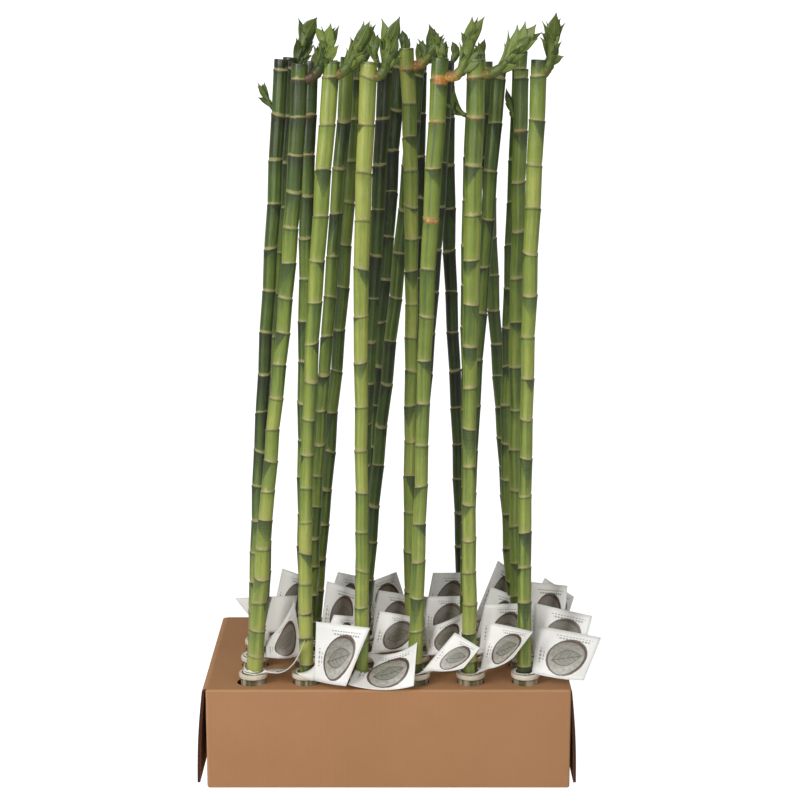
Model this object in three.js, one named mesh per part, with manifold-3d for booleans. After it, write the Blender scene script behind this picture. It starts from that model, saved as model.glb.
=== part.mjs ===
// Lucky bamboo for sale: cut canes with fresh shoots, each standing in a glass tube,
// all the tubes held upright by the holes in the top of one corrugated carton.
// Millimetres, +Z up. The front of the carton faces -Y. The origin is the middle of
// the carton's base, on the surface that it stands on.

import * as THREE from 'three';
import { mergeVertices } from 'three/addons/utils/BufferGeometryUtils.js';
import Module from 'manifold-3d';

const wasm = await Module();
wasm.setup();

// Carton
const CARTON_WIDTH = 400;
const CARTON_DEPTH = 262;
const CARTON_HEIGHT = 114;
const BOARD = 3;
const HOLE_RADIUS = 15.4;
const HOLE_SIDES = 10;
const FLAP_LENGTH = 108;
const FLAP_INSET = 3;
const LEFT_FLAP_SPREAD = 5.2;
const RIGHT_FLAP_SPREAD = 3.2;

// Grid of holes: six columns from left to right, four rows from front to back
const COLUMNS = 6;
const ROWS = 4;
const COLUMN_PITCH = 60.6;
const ROW_PITCH = 57;
const FRONT_ROW_SETBACK = 27;

// Glass tube with its collar
const GAP = 0.3;
const TUBE_RADIUS = 14;
const TUBE_BORE = 12.3;
const TUBE_FLOOR = 2.5;
const COLLAR_RADIUS = 16;
const COLLAR_HEIGHT = 5.5;
const COLLAR_LIFT = 6.5;
const TUBE_SIDES = 10;
const COLLAR_TOP = CARTON_HEIGHT + COLLAR_LIFT + COLLAR_HEIGHT;

// Cane
const CANE_SIDES = 6;
const FOOT_RADIUS = 7.4;
const BASE_RADIUS = 7.8;
const WAIST_RADIUS = 6.9;
const TOP_RADIUS = 7.9;
const RING_LIP = 1.07;
const RING_NECK = 0.95;
const RING_DEPTH = 1.6;
const LAST_RING_ABOVE_COLLAR = 6;
const GAP_STATIONS = 7.5;

// Tag
const TAG_COLUMNS = 3;
const TAG_ROWS = 1;
const TAG_THICKNESS = 0.8;
const LOBE_RADIUS = 14;
const LOBE_HOLE = 10;
const LOBE_SIDES = 7;
const TONGUE_START = 12;
const TONGUE_WIDTH = 10;
const TONGUE_FOOT = 0.12;
const TONGUE_FOLD = 1.2;

const COLORS = {
  carton: 0xb07f58,
  tube: 0xd9e4d8,
  cane: 0x7f9d3c,
  tag: 0xe9e9e4,
};

// Every cane by column and row. foot and top are how far its centre lies to the right of
// its tube's centre, at the collar and at its cut top; back is how far the top leans to
// the rear; bow and sway bend it on the way. joints are the internode lengths near the
// top, half way and at the foot; ring is its highest ring and height its cut top.
// A shoot is the ring that it grows from, the way it points (0 is to the right, 90 to the
// rear), how far it reaches out and how high it rises.
const CANES = [
  { at: [1, 1], foot: 3.4, top: 61, back: -6, bow: 2, sway: -2, height: 788, ring: 771,
    joints: [39, 36, 31], shoots: [[0, -40, 36, 57]] },
  { at: [1, 2], foot: 0, top: 38, back: 5, bow: -4, sway: -1, height: 791, ring: 780,
    joints: [48, 44, 28], shoots: [[1, 175, 17, 33]] },
  { at: [1, 3], foot: 3.2, top: 45, back: -4, bow: -4, sway: -2, height: 792, ring: 778,
    joints: [50, 46, 34], shoots: [[0, 12, 20, 57]] },
  { at: [1, 4], foot: 0, top: 42, back: 8, bow: -3, sway: 0, height: 786, ring: 772,
    joints: [47, 45, 35], shoots: [[0, 60, 14, 44]] },
  { at: [2, 1], foot: 0.5, top: 34, back: -8, bow: -9, sway: -1, height: 791, ring: 775,
    joints: [50, 41, 30], shoots: [[0, -5, 34, 56]] },
  { at: [2, 2], foot: -3.2, top: 9, back: 4, bow: -5, sway: 0, height: 789, ring: 773,
    joints: [40, 45, 28], shoots: [[0, 205, 8, 30]] },
  { at: [2, 3], foot: -0.5, top: 47, back: 6, bow: -4, sway: -1, height: 792, ring: 778,
    joints: [56, 41, 32], shoots: [[0, 20, 12, 36]] },
  { at: [2, 4], foot: 2, top: 53, back: 9, bow: 4, sway: -1, height: 788, ring: 766,
    joints: [44, 48, 30], shoots: [[0, 80, 9, 36]] },
  { at: [3, 1], foot: 0, top: 11, back: -5, bow: -4, sway: 2, height: 790, ring: 775,
    joints: [49, 48, 31], shoots: [[0, -8, 26, 62]] },
  { at: [3, 2], foot: 1.4, top: 28, back: 7, bow: -6, sway: -2, height: 787, ring: 776,
    joints: [49, 46, 36], shoots: [[0, 165, 13, 46]] },
  { at: [3, 3], foot: -1, top: 63, back: -6, bow: -1, sway: -1, height: 782, ring: 772,
    joints: [48, 48, 36], shoots: [[0, 100, 8, 34]] },
  { at: [3, 4], foot: 1, top: 41, back: 6, bow: -2, sway: -2, height: 791, ring: 780,
    joints: [46, 49, 36], shoots: [[0, 60, 12, 40]] },
  { at: [4, 1], foot: -1, top: 25, back: -7, bow: -4, sway: 1, height: 794, ring: 780,
    joints: [53, 46, 34], shoots: [[0, -12, 38, 56], [0, 75, 7, 34]] },
  { at: [4, 2], foot: -3.2, top: -10, back: -2, bow: 1, sway: -2, height: 803, ring: 781,
    joints: [37, 37, 46], shoots: [[0, -6, 32, 46]] },
  { at: [4, 3], foot: 0.7, top: 34, back: 6, bow: -4, sway: -2, height: 788, ring: 776,
    joints: [50, 45, 35], shoots: [[0, 30, 11, 36]] },
  { at: [4, 4], foot: -3, top: 5, back: 10, bow: 0, sway: 0, height: 784, ring: 774,
    joints: [47, 45, 36], shoots: [[0, 100, 7, 34]] },
  { at: [5, 1], foot: -0.8, top: 2, back: -6, bow: -4, sway: 0, height: 793, ring: 778,
    joints: [49, 44, 30], shoots: [[0, -22, 56, 52]] },
  { at: [5, 2], foot: -3.2, top: 3, back: 2, bow: -4, sway: 2, height: 797, ring: 782,
    joints: [47, 45, 36], shoots: [[1, 180, 17, 33]] },
  { at: [5, 3], foot: -0.4, top: 31, back: 5, bow: -6, sway: -1, height: 779, ring: 770,
    joints: [50, 52, 36], shoots: [[0, 100, 12, 38]] },
  { at: [5, 4], foot: -3.2, top: -24, back: 8, bow: -2, sway: 2, height: 787, ring: 776,
    joints: [54, 44, 36], shoots: [[0, 120, 9, 36]] },
  { at: [6, 1], foot: -1, top: 6, back: -5, bow: -5, sway: 0, height: 792, ring: 776,
    joints: [46, 44, 35], shoots: [[0, -15, 19, 62]] },
  { at: [6, 2], foot: -3.2, top: -9, back: 4, bow: -5, sway: -1, height: 781, ring: 770,
    joints: [56, 46, 34], shoots: [[1, 185, 14, 33]] },
  { at: [6, 3], foot: -3.2, top: -6, back: 6, bow: -12, sway: -2, height: 799, ring: 778,
    joints: [50, 44, 36], shoots: [[0, 160, 9, 32]] },
  { at: [6, 4], foot: -3.2, top: -41, back: 9, bow: -4, sway: 2, height: 786, ring: 776,
    joints: [52, 38, 32], shoots: [[0, 100, 9, 36]] },
];

// The tags that have a solid of their own, by column and row: the corners of the standing
// card (lower near the cane, lower far, upper far, upper near), and how far the middle of
// the card bows back between its two side edges.
const TAGS = [
  { at: [1, 1], bow: 3,
    corners: [[-136, -118, 132], [-100, -121, 146], [-91, -120, 167], [-123, -78, 128]] },
  { at: [2, 1], bow: 2,
    corners: [[-81, -123, 122], [-46, -138, 121], [-20, -122, 182], [-79, -112, 186]] },
  { at: [3, 1], bow: 3,
    corners: [[-20, -126, 122], [28, -137, 120], [31, -120, 166], [-17, -86, 142]] },
  { at: [4, 1], bow: 1,
    corners: [[39, -117, 133], [82, -136, 141], [100, -133, 163], [73, -110, 173]] },
  { at: [5, 1], bow: 3,
    corners: [[101, -112, 131], [136, -138, 154], [158, -122, 178], [112, -96, 180]] },
  { at: [6, 1], bow: 2,
    corners: [[158, -112, 127], [213, -136, 127], [234, -108, 166], [166, -90, 174]] },
  { at: [1, 2], bow: 5,
    corners: [[-138, -59, 127], [-97, -71, 135], [-106, -55, 193], [-140, -37, 138]] },
  { at: [3, 2], bow: 2,
    corners: [[-20, -57, 131], [26, -77, 144], [37, -64, 175], [-10, -45, 177]] },
  { at: [4, 2], bow: 3,
    corners: [[44, -55, 128], [79, -77, 144], [87, -63, 182], [39, -39, 154]] },
  { at: [5, 2], bow: 2,
    corners: [[102, -56, 133], [147, -75, 134], [158, -66, 193], [108, -51, 186]] },
  { at: [6, 2], bow: 2,
    corners: [[162, -55, 128], [214, -77, 128], [230, -55, 174], [165, -37, 184]] },
];

const UP = new THREE.Vector3(0, 0, 1);
const radians = THREE.MathUtils.degToRad;
const smoothstep = THREE.MathUtils.smoothstep;

// A closed mesh with shared vertices becomes a solid that can be joined and cut.
function toSolid(geometry) {
  const bare = geometry.clone();
  bare.deleteAttribute('normal');
  bare.deleteAttribute('uv');
  const merged = mergeVertices(bare, 1e-4);
  const mesh = new wasm.Mesh({
    numProp: 3,
    vertProperties: new Float32Array(merged.attributes.position.array),
    triVerts: new Uint32Array(merged.index.array),
  });
  mesh.merge();
  return new wasm.Manifold(mesh);
}

function toGeometry(solid) {
  const mesh = solid.getMesh();
  const geometry = new THREE.BufferGeometry();
  geometry.setAttribute('position', new THREE.Float32BufferAttribute(mesh.vertProperties, 3));
  geometry.setIndex(new THREE.Uint32BufferAttribute(mesh.triVerts, 1));
  geometry.computeVertexNormals();
  return geometry;
}

// A turned shape about the Z axis from a profile of [radius, height] points.
function turned(profile, sides) {
  const points = profile.map(([radius, height]) => new THREE.Vector2(radius, height));
  const geometry = new THREE.LatheGeometry(points, sides);
  geometry.rotateX(Math.PI / 2);
  return geometry;
}

// Moves every vertex of a geometry by a rule.
function reshape(geometry, rule) {
  const position = geometry.attributes.position;
  const point = new THREE.Vector3();
  for (let i = 0; i < position.count; i += 1) {
    point.fromBufferAttribute(position, i);
    const moved = rule(point);
    position.setXYZ(i, moved.x, moved.y, moved.z);
  }
  return geometry;
}

// The middle of a hole, seen from above.
function holeCentre(column, row) {
  const x = (column - (COLUMNS + 1) / 2) * COLUMN_PITCH;
  const y = -CARTON_DEPTH / 2 + FRONT_ROW_SETBACK + (row - 1) * ROW_PITCH;
  return new THREE.Vector2(x, y);
}

// Carton: one folded blank. The top has a hole for each tube, and a flap hangs from each
// end of the top and stands away from the end at its foot.
function carton() {
  const outer = new THREE.BoxGeometry(CARTON_WIDTH, CARTON_DEPTH, CARTON_HEIGHT);
  outer.translate(0, 0, CARTON_HEIGHT / 2);
  const inner = new THREE.BoxGeometry(
    CARTON_WIDTH - 2 * BOARD, CARTON_DEPTH - 2 * BOARD, CARTON_HEIGHT - 2 * BOARD);
  inner.translate(0, 0, CARTON_HEIGHT / 2);
  let solid = toSolid(outer).subtract(toSolid(inner));
  for (let column = 1; column <= COLUMNS; column += 1) {
    for (let row = 1; row <= ROWS; row += 1) {
      const hole = new THREE.CylinderGeometry(HOLE_RADIUS, HOLE_RADIUS, 4 * BOARD, HOLE_SIDES);
      hole.rotateX(Math.PI / 2);
      const centre = holeCentre(column, row);
      hole.translate(centre.x, centre.y, CARTON_HEIGHT);
      solid = solid.subtract(toSolid(hole));
    }
  }
  for (const [side, spread] of [[-1, LEFT_FLAP_SPREAD], [1, RIGHT_FLAP_SPREAD]]) {
    const flap = new THREE.BoxGeometry(BOARD, CARTON_DEPTH - 2 * FLAP_INSET, FLAP_LENGTH);
    flap.translate(side * BOARD / 2, 0, -FLAP_LENGTH / 2);
    flap.rotateY(-side * radians(spread));
    flap.translate(side * (CARTON_WIDTH / 2 - BOARD / 2), 0, CARTON_HEIGHT - BOARD / 4);
    solid = solid.add(toSolid(flap));
  }
  return toGeometry(solid);
}

// Tube: a plain glass tube with a flat floor, and the collar round its mouth.
function tube() {
  const mouth = COLLAR_TOP - BOARD - GAP;
  const collarFoot = mouth - COLLAR_HEIGHT;
  return turned([
    [0, 0], [TUBE_RADIUS, 0], [TUBE_RADIUS, collarFoot], [COLLAR_RADIUS, collarFoot],
    [COLLAR_RADIUS, mouth], [TUBE_BORE, mouth], [TUBE_BORE, TUBE_FLOOR], [0, TUBE_FLOOR],
  ], TUBE_SIDES);
}

// The centre line of a cane. Inside its tube it leans across from one wall to the other.
function caneCentre(cane, z) {
  const hole = holeCentre(...cane.at);
  if (z < COLLAR_TOP) {
    return new THREE.Vector2(hole.x + cane.foot * (2 * z / COLLAR_TOP - 1), hole.y);
  }
  const t = (z - COLLAR_TOP) / (cane.height - COLLAR_TOP);
  const bend = cane.bow * 4 * t * (1 - t) + cane.sway * Math.sin(2 * Math.PI * t);
  return new THREE.Vector2(
    hole.x + cane.foot + (cane.top - cane.foot) * t + bend, hole.y + cane.back * t);
}

// How far a ring lies below the highest ring: the internode length runs smoothly through
// its three stated values, and this is the sum of the lengths above the ring.
function ringDrop(joints, ring) {
  const [upper, middle, lower] = joints;
  const curve = (upper - 2 * middle + lower) / (2 * GAP_STATIONS ** 2);
  const slope = (middle - upper) / GAP_STATIONS - GAP_STATIONS * curve;
  return upper * ring + slope * ring ** 2 / 2 + curve * ring ** 3 / 3;
}

function ringHeights(cane) {
  const heights = [];
  for (let ring = 0; ; ring += 1) {
    const z = cane.ring - ringDrop(cane.joints, ring);
    if (z < COLLAR_TOP + LAST_RING_ABOVE_COLLAR) {
      return heights;
    }
    heights.push(z);
  }
}

// Mean radius of a cane at a height: thick at the foot, slim below the middle, and thick
// again at the top.
function caneRadius(cane, z) {
  const t = (z - COLLAR_TOP) / (cane.height - COLLAR_TOP);
  const lower = THREE.MathUtils.lerp(BASE_RADIUS, WAIST_RADIUS, smoothstep(t, 0, 0.4));
  return THREE.MathUtils.lerp(lower, TOP_RADIUS, smoothstep(t, 0.4, 0.95));
}

// A cane stem: each internode is narrow just above its lower ring and flares up to the
// lip of the next ring, over which the next internode starts narrow again.
function stem(cane) {
  const floor = BOARD + GAP + TUBE_FLOOR + GAP;
  const profile = [[0, floor], [FOOT_RADIUS, floor]];
  profile.push([BASE_RADIUS * RING_NECK, COLLAR_TOP]);
  for (const z of ringHeights(cane).reverse()) {
    const radius = caneRadius(cane, z);
    profile.push([radius * RING_LIP, z]);
    profile.push([radius * RING_NECK, z + RING_DEPTH]);
  }
  profile.push([TOP_RADIUS, cane.height], [0, cane.height]);
  return reshape(turned(profile, CANE_SIDES), (point) => {
    const centre = caneCentre(cane, point.z);
    return new THREE.Vector3(point.x + centre.x, point.y + centre.y, point.z);
  });
}

// A leaf: a slim pointed blade along +Z with its rib thicker than its edges.
const LEAF_HALF_WIDTH = 4.2;
const LEAF_HALF_THICKNESS = 1.1;

function leaf(length) {
  const blade = turned([[0, 0], [1, length * 0.42], [0, length]], 4);
  blade.scale(LEAF_HALF_WIDTH, LEAF_HALF_THICKNESS, 1);
  return blade;
}

// A shoot: a short stalk that leaves the ring sideways and turns up into a spear of young
// leaves, with more leaves spreading from it on both sides.
const SPEAR_PROFILE = [[0, 0], [3.6, 0], [4.2, 0.6], [0, 1]];
const SMALL_SHOOT_RISE = 50;
const SHOOT_LEAVES = [
  { from: 0.30, turn: 1, spread: 38, length: 0.44 },
  { from: 0.42, turn: -1, spread: 34, length: 0.46 },
  { from: 0.55, turn: 1, spread: 26, length: 0.42 },
  { from: 0.62, turn: -1, spread: 20, length: 0.40 },
];

function shootSolids(cane, [ring, turn, reach, rise]) {
  const z = ringHeights(cane)[ring];
  const centre = caneCentre(cane, z);
  const out = new THREE.Vector3(Math.cos(radians(turn)), Math.sin(radians(turn)), 0);
  const across = new THREE.Vector3().crossVectors(UP, out);
  const start = new THREE.Vector3(centre.x, centre.y, z + 2).addScaledVector(out, TOP_RADIUS - 4);
  const side = Math.max(0, reach - TOP_RADIUS);
  const curve = new THREE.QuadraticBezierCurve3(
    start,
    start.clone().addScaledVector(out, side * 0.8 + 3).addScaledVector(UP, rise * 0.3),
    start.clone().addScaledVector(out, side + 4).addScaledVector(UP, rise - 2),
  );
  const length = curve.getLength();
  const spear = reshape(turned(SPEAR_PROFILE, 4), (point) => {
    const middle = curve.getPoint(point.z);
    const along = curve.getTangent(point.z);
    const outward = new THREE.Vector3().crossVectors(along, across).negate();
    return middle.addScaledVector(outward, point.x).addScaledVector(across, point.y);
  });
  const solids = [toSolid(spear)];
  const leaves = rise < SMALL_SHOOT_RISE ? SHOOT_LEAVES.slice(0, 2) : SHOOT_LEAVES;
  for (const blade of leaves) {
    const along = curve.getTangent(blade.from);
    const axis = new THREE.Vector3().crossVectors(along, out).normalize();
    const sideways = blade.turn * radians(blade.spread);
    const direction = along.clone().applyAxisAngle(across, sideways);
    direction.applyAxisAngle(out, sideways * 0.5);
    const geometry = leaf(length * blade.length);
    geometry.rotateZ(Math.atan2(axis.y, axis.x));
    geometry.applyQuaternion(new THREE.Quaternion().setFromUnitVectors(UP, direction.normalize()));
    const root = curve.getPoint(blade.from);
    geometry.translate(root.x, root.y, root.z);
    solids.push(toSolid(geometry));
  }
  return solids;
}

function cane(entry) {
  let solid = toSolid(stem(entry));
  for (const shoot of entry.shoots) {
    for (const piece of shootSolids(entry, shoot)) {
      solid = solid.add(piece);
    }
  }
  return toGeometry(solid);
}

// A point of a card's middle surface, 0 to 1 across and 0 to 1 up.
function cardPoint({ corners, bow }, across, up) {
  const [nearLow, farLow, farHigh, nearHigh] = corners.map((at) => new THREE.Vector3(...at));
  const low = nearLow.clone().lerp(farLow, across);
  const point = low.lerp(nearHigh.clone().lerp(farHigh, across), up);
  const back = new THREE.Vector3().crossVectors(
    farHigh.clone().sub(nearLow), nearHigh.clone().sub(farLow)).normalize().negate();
  return point.addScaledVector(back, bow * 4 * across * (1 - across));
}

// A thin plate from a grid of points in its middle surface. Both faces are split along the
// same diagonals, so the plate keeps its thickness where it is warped.
function plate(columns, rows, pointAt) {
  const positions = [];
  const step = 0.01;
  for (const side of [0.5, -0.5]) {
    for (let j = 0; j <= rows; j += 1) {
      for (let i = 0; i <= columns; i += 1) {
        const across = i / columns;
        const up = j / rows;
        const right = pointAt(across + step, up).sub(pointAt(across - step, up));
        const above = pointAt(across, up + step).sub(pointAt(across, up - step));
        const normal = right.cross(above).normalize();
        const point = pointAt(across, up).addScaledVector(normal, side * TAG_THICKNESS);
        positions.push(...point.toArray());
      }
    }
  }
  const back = (columns + 1) * (rows + 1);
  const at = (i, j) => j * (columns + 1) + i;
  const index = [];
  for (let j = 0; j < rows; j += 1) {
    for (let i = 0; i < columns; i += 1) {
      const [a, b, c, d] = [at(i, j), at(i + 1, j), at(i + 1, j + 1), at(i, j + 1)];
      index.push(a, b, c, a, c, d, back + a, back + c, back + b, back + a, back + d, back + c);
    }
  }
  const edge = (from, to) => {
    index.push(from, back + from, back + to, from, back + to, to);
  };
  for (let i = 0; i < columns; i += 1) {
    edge(at(i, 0), at(i + 1, 0));
    edge(at(i + 1, rows), at(i, rows));
  }
  for (let j = 0; j < rows; j += 1) {
    edge(at(columns, j), at(columns, j + 1));
    edge(at(0, j + 1), at(0, j));
  }
  const geometry = new THREE.BufferGeometry();
  geometry.setAttribute('position', new THREE.Float32BufferAttribute(positions, 3));
  geometry.setIndex(index);
  return geometry;
}

// A tag: a ring that lies on the collar round the cane, a tongue that rises from it, and
// the card that stands on the fold at the tongue's end.
function tag(entry) {
  const owner = CANES.find((plain) => plain.at.join() === entry.at.join());
  const z = COLLAR_TOP + GAP + TAG_THICKNESS / 2;
  const foot = caneCentre(owner, z);
  const origin = new THREE.Vector3(foot.x, foot.y, z);
  const card = plate(TAG_COLUMNS, TAG_ROWS, (across, up) => cardPoint(entry, across, up));

  const height = entry.corners[3][2] - entry.corners[0][2];
  const rise = Math.max(0, z + TONGUE_FOLD - entry.corners[0][2]) / height + 0.02;
  const fold = cardPoint(entry, TONGUE_FOOT, rise);
  const heading = new THREE.Vector3(fold.x - origin.x, fold.y - origin.y, 0).normalize();
  const sideways = new THREE.Vector3().crossVectors(heading, UP);
  const start = origin.clone().addScaledVector(heading, TONGUE_START);
  const tongue = plate(1, 1, (across, up) => start.clone().lerp(fold, up)
    .addScaledVector(sideways, (across - 0.5) * TONGUE_WIDTH));

  const lobe = new THREE.CylinderGeometry(LOBE_RADIUS, LOBE_RADIUS, TAG_THICKNESS, LOBE_SIDES);
  const hole = new THREE.CylinderGeometry(LOBE_HOLE, LOBE_HOLE, 40, LOBE_SIDES);
  for (const disc of [lobe, hole]) {
    disc.rotateX(Math.PI / 2);
    disc.translate(origin.x, origin.y, origin.z);
  }
  const ring = toSolid(lobe).add(toSolid(tongue)).subtract(toSolid(hole));
  return toGeometry(ring.add(toSolid(card)));
}

const materials = {
  carton: new THREE.MeshStandardMaterial({ color: COLORS.carton, roughness: 0.85 }),
  tube: new THREE.MeshStandardMaterial({ color: COLORS.tube, roughness: 0.08 }),
  cane: new THREE.MeshStandardMaterial({ color: COLORS.cane, roughness: 0.42 }),
  tag: new THREE.MeshStandardMaterial({ color: COLORS.tag, roughness: 0.6 }),
};

const plant = new THREE.Group();

function place(name, geometry, material) {
  const mesh = new THREE.Mesh(geometry, material);
  mesh.name = name;
  plant.add(mesh);
  return mesh;
}

place('carton', carton(), materials.carton);
for (const entry of CANES) {
  const [column, row] = entry.at;
  const centre = holeCentre(column, row);
  const glass = place(`tube_${column}_${row}`, tube(), materials.tube);
  glass.position.set(centre.x, centre.y, BOARD + GAP);
  place(`cane_${column}_${row}`, cane(entry), materials.cane);
}
for (const entry of TAGS) {
  place(`tag_${entry.at.join('_')}`, tag(entry), materials.tag);
}

export default plant;
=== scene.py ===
"""Lucky bamboo for sale: jointed canes with fresh shoots, each in a glass tube, in one carton."""
import math
import random

import bmesh
import bpy
from mathutils import Matrix, Vector


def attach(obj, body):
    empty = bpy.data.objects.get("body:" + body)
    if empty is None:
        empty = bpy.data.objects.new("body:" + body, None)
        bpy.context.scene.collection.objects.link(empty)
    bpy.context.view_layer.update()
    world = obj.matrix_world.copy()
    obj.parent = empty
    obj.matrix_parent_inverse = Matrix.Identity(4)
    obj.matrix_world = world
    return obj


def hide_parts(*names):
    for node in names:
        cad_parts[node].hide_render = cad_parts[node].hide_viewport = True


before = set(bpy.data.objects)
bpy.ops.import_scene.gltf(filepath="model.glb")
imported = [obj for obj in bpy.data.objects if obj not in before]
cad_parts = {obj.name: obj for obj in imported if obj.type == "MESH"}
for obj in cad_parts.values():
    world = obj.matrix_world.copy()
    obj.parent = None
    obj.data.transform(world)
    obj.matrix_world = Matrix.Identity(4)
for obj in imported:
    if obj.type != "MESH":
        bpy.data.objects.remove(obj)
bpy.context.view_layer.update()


# Camera: a long lens about two metres in front of the carton, a little above the middle
# of the canes and tipped down, so the carton's top shows and the cut ends lie near the top.
lens = bpy.data.cameras.new("long_lens")
lens.lens, lens.sensor_width = 86.31, 36
camera = bpy.data.objects.new("camera", lens)
camera.location = (0.0128, -2.124, 0.8355)
camera.rotation_euler = (math.radians(90 - 11.3), 0, 0)
bpy.context.scene.collection.objects.link(camera)
bpy.context.scene.camera = camera


# Carton: one blank of brown corrugated board, folded up into a low box. Its top is punched
# with a hole for each tube, and at each end of the top a loose flap hangs down outside.
CARTON_WIDTH, CARTON_DEPTH, CARTON_HEIGHT = 0.400, 0.262, 0.114
BOARD, FOLD_RADIUS, HOLE_RADIUS = 0.003, 0.0024, 0.0150
COLUMNS, ROWS = 6, 4
COLUMN_PITCH, ROW_PITCH = 0.0606, 0.057
FRONT_ROW_Y = -0.104
MIDDLE_ROW_Y = FRONT_ROW_Y + ROW_PITCH * (ROWS - 1) / 2
# The front hole of the first column is worn a little wider and to the right.
HOLE_WEAR, HOLE_SHIFT = 0.07, 0.0003
FLAP_LENGTH, FLAP_INSET, FLAP_BOW = 0.108, 0.003, 0.0016
# How far each flap, left and right, spreads in degrees, and how far its fold lies out.
FLAP_SPREADS, FLAP_SHIFTS = {-1: 3.6, 1: 3.2}, {-1: 0.003, 1: 0}


class Wire:
    """A number on its way through a node tree, so that a rule reads as a sum."""

    def __init__(self, tree, socket):
        self.tree, self.socket = tree, socket

    def does(self, operation, *others):
        inputs = dict(enumerate((self, *others)))
        return Wire(self.tree, add_node(self.tree, "Math", inputs, operation=operation).outputs[0])

    def rise(self, low, high):
        """0 below low, 1 above high, and smooth between them."""
        return Wire(self.tree, add_node(self.tree, "MapRange", {
            "Value": self, "From Min": low, "From Max": high},
            interpolation_type="SMOOTHSTEP").outputs[0])

    def __add__(self, other):
        return self.does("ADD", other)

    def __sub__(self, other):
        return self.does("SUBTRACT", other)

    def __mul__(self, other):
        return self.does("MULTIPLY", other)

    def __truediv__(self, other):
        return self.does("DIVIDE", other)

    def __rsub__(self, other):
        return (self * -1).does("ADD", other)

    def __abs__(self):
        return self.does("ABSOLUTE")

    __radd__, __rmul__ = __add__, __mul__


def feed(tree, socket, value):
    """Links a wire or a socket to the socket, or sets its plain value."""
    value = value.socket if isinstance(value, Wire) else value
    if isinstance(value, bpy.types.NodeSocket):
        tree.links.new(value, socket)
    else:
        socket.default_value = value


def plug(tree, node, **feeds):
    for key, value in feeds.items():
        feed(tree, node.inputs[key.replace("_", " ")], value)


def add_node(tree, kind, feeds=None, **settings):
    """Adds a node by its type's name, which may go without ShaderNode and the like."""
    kinds = (start + kind for start in ("ShaderNode", "GeometryNode", "FunctionNode", ""))
    made = tree.nodes.new(next(name for name in kinds if hasattr(bpy.types, name)))
    for name, value in settings.items():
        setattr(made, name, value)
    for key, value in (feeds or {}).items():
        feed(tree, made.inputs[key], value)
    return made


def tint(tree, share, *colours):
    """Mixes two colours. A plain one has the 0 to 255 values of a screen."""
    def linear(value):
        value /= 255
        return value / 12.92 if value <= 0.04045 else ((value + 0.055) / 1.055) ** 2.4
    first, second = ((*map(linear, colour), 1) if isinstance(colour, tuple) else colour
                     for colour in colours)
    return add_node(tree, "Mix", {0: share, 6: first, 7: second}, data_type="RGBA").outputs[2]


def new_group(name, kind, takes, gives):
    """A node group with named inputs and outputs: the tree, its input wires, its output node."""
    tree = bpy.data.node_groups.new(name, kind)
    for direction, sockets in (("INPUT", takes), ("OUTPUT", gives)):
        for entry in sockets:
            label, sort, *value = entry if isinstance(entry, tuple) else (entry, "Float")
            socket = tree.interface.new_socket(label, in_out=direction,
                                               socket_type="NodeSocket" + sort)
            if value:
                socket.default_value = value[0]
    inputs = add_node(tree, "NodeGroupInput").outputs[:-1]
    return tree, {socket.name: Wire(tree, socket) for socket in inputs}, add_node(
        tree, "NodeGroupOutput")


def new_tree(name, *takes):
    """A Geometry Nodes tree that changes a piece."""
    piece = ("Geometry", "Geometry")
    return new_group(name, "GeometryNodeTree", [piece, *takes], [piece])


def use_group(tree, group, feeds=None):
    return add_node(tree, "Group", feeds, node_tree=group).outputs


def new_material(name, **settings):
    """A material with its plain values on the shader's own sockets."""
    material = bpy.data.materials.new(name)
    material.use_nodes = True
    shader = material.node_tree.nodes["Principled BSDF"]
    plug(material.node_tree, shader, **settings)
    return material, material.node_tree, shader


def object_place(tree):
    return add_node(tree, "TexCoord").outputs["Object"]


def soft_noise(tree, vector, scale, detail=2.0, roughness=0.5, stretch=None):
    if stretch:
        vector = add_node(tree, "Mapping", {"Vector": vector, "Scale": stretch}).outputs[0]
    made = add_node(tree, "TexNoise", {"Vector": vector, "Scale": scale, "Detail": detail,
                                       "Roughness": roughness})
    return Wire(tree, made.outputs[0])


def bump(tree, height, strength, distance):
    return add_node(tree, "Bump", {"Strength": strength, "Distance": distance,
                                   "Height": height}).outputs[0]


def parts(tree, vector):
    return [Wire(tree, part) for part in add_node(tree, "SeparateXYZ", {0: vector}).outputs]


def vector_of(tree, x=0.0, y=0.0, z=0.0):
    return add_node(tree, "CombineXYZ", {0: x, 1: y, 2: z}).outputs[0]


def put(name, mesh):
    piece = bpy.data.objects.new(name, mesh)
    bpy.context.scene.collection.objects.link(piece)
    return piece


def finish_mesh(piece):
    """Turns the piece with its modifiers into a plain mesh."""
    bpy.context.view_layer.update()
    ready = bpy.context.evaluated_depsgraph_get()
    mesh = bpy.data.meshes.new_from_object(
        piece.evaluated_get(ready), preserve_all_data_layers=True, depsgraph=ready)
    mesh.name = piece.name
    piece.modifiers.clear()
    piece.data = mesh
    return piece


def grow(piece, tree, **values):
    """Runs a Geometry Nodes tree on the piece, with its inputs given by name."""
    modifier = piece.modifiers.new("grow", "NODES")
    modifier.node_group = tree
    for item in tree.interface.items_tree:
        key = item.name.replace(" ", "_")
        if item.in_out == "INPUT" and key in values:
            modifier[item.identifier] = values[key]
    return finish_mesh(piece)


def finish_tree(tree, result, geometry, material, cut_material=None):
    """Ends a tree with real instances and their material, and another on the cut faces."""
    real = add_node(tree, "RealizeInstances", {0: geometry})
    ended = add_node(tree, "SetMaterial", {"Geometry": real.outputs[0], "Material": material})
    if cut_material:
        is_cut = add_node(tree, "InputNamedAttribute", {"Name": "cut"}, data_type="BOOLEAN")
        ended = add_node(tree, "SetMaterial", {
            "Geometry": ended.outputs[0], "Selection": is_cut.outputs[0],
            "Material": cut_material})
    feed(tree, result.inputs[0], ended.outputs[0])


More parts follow.
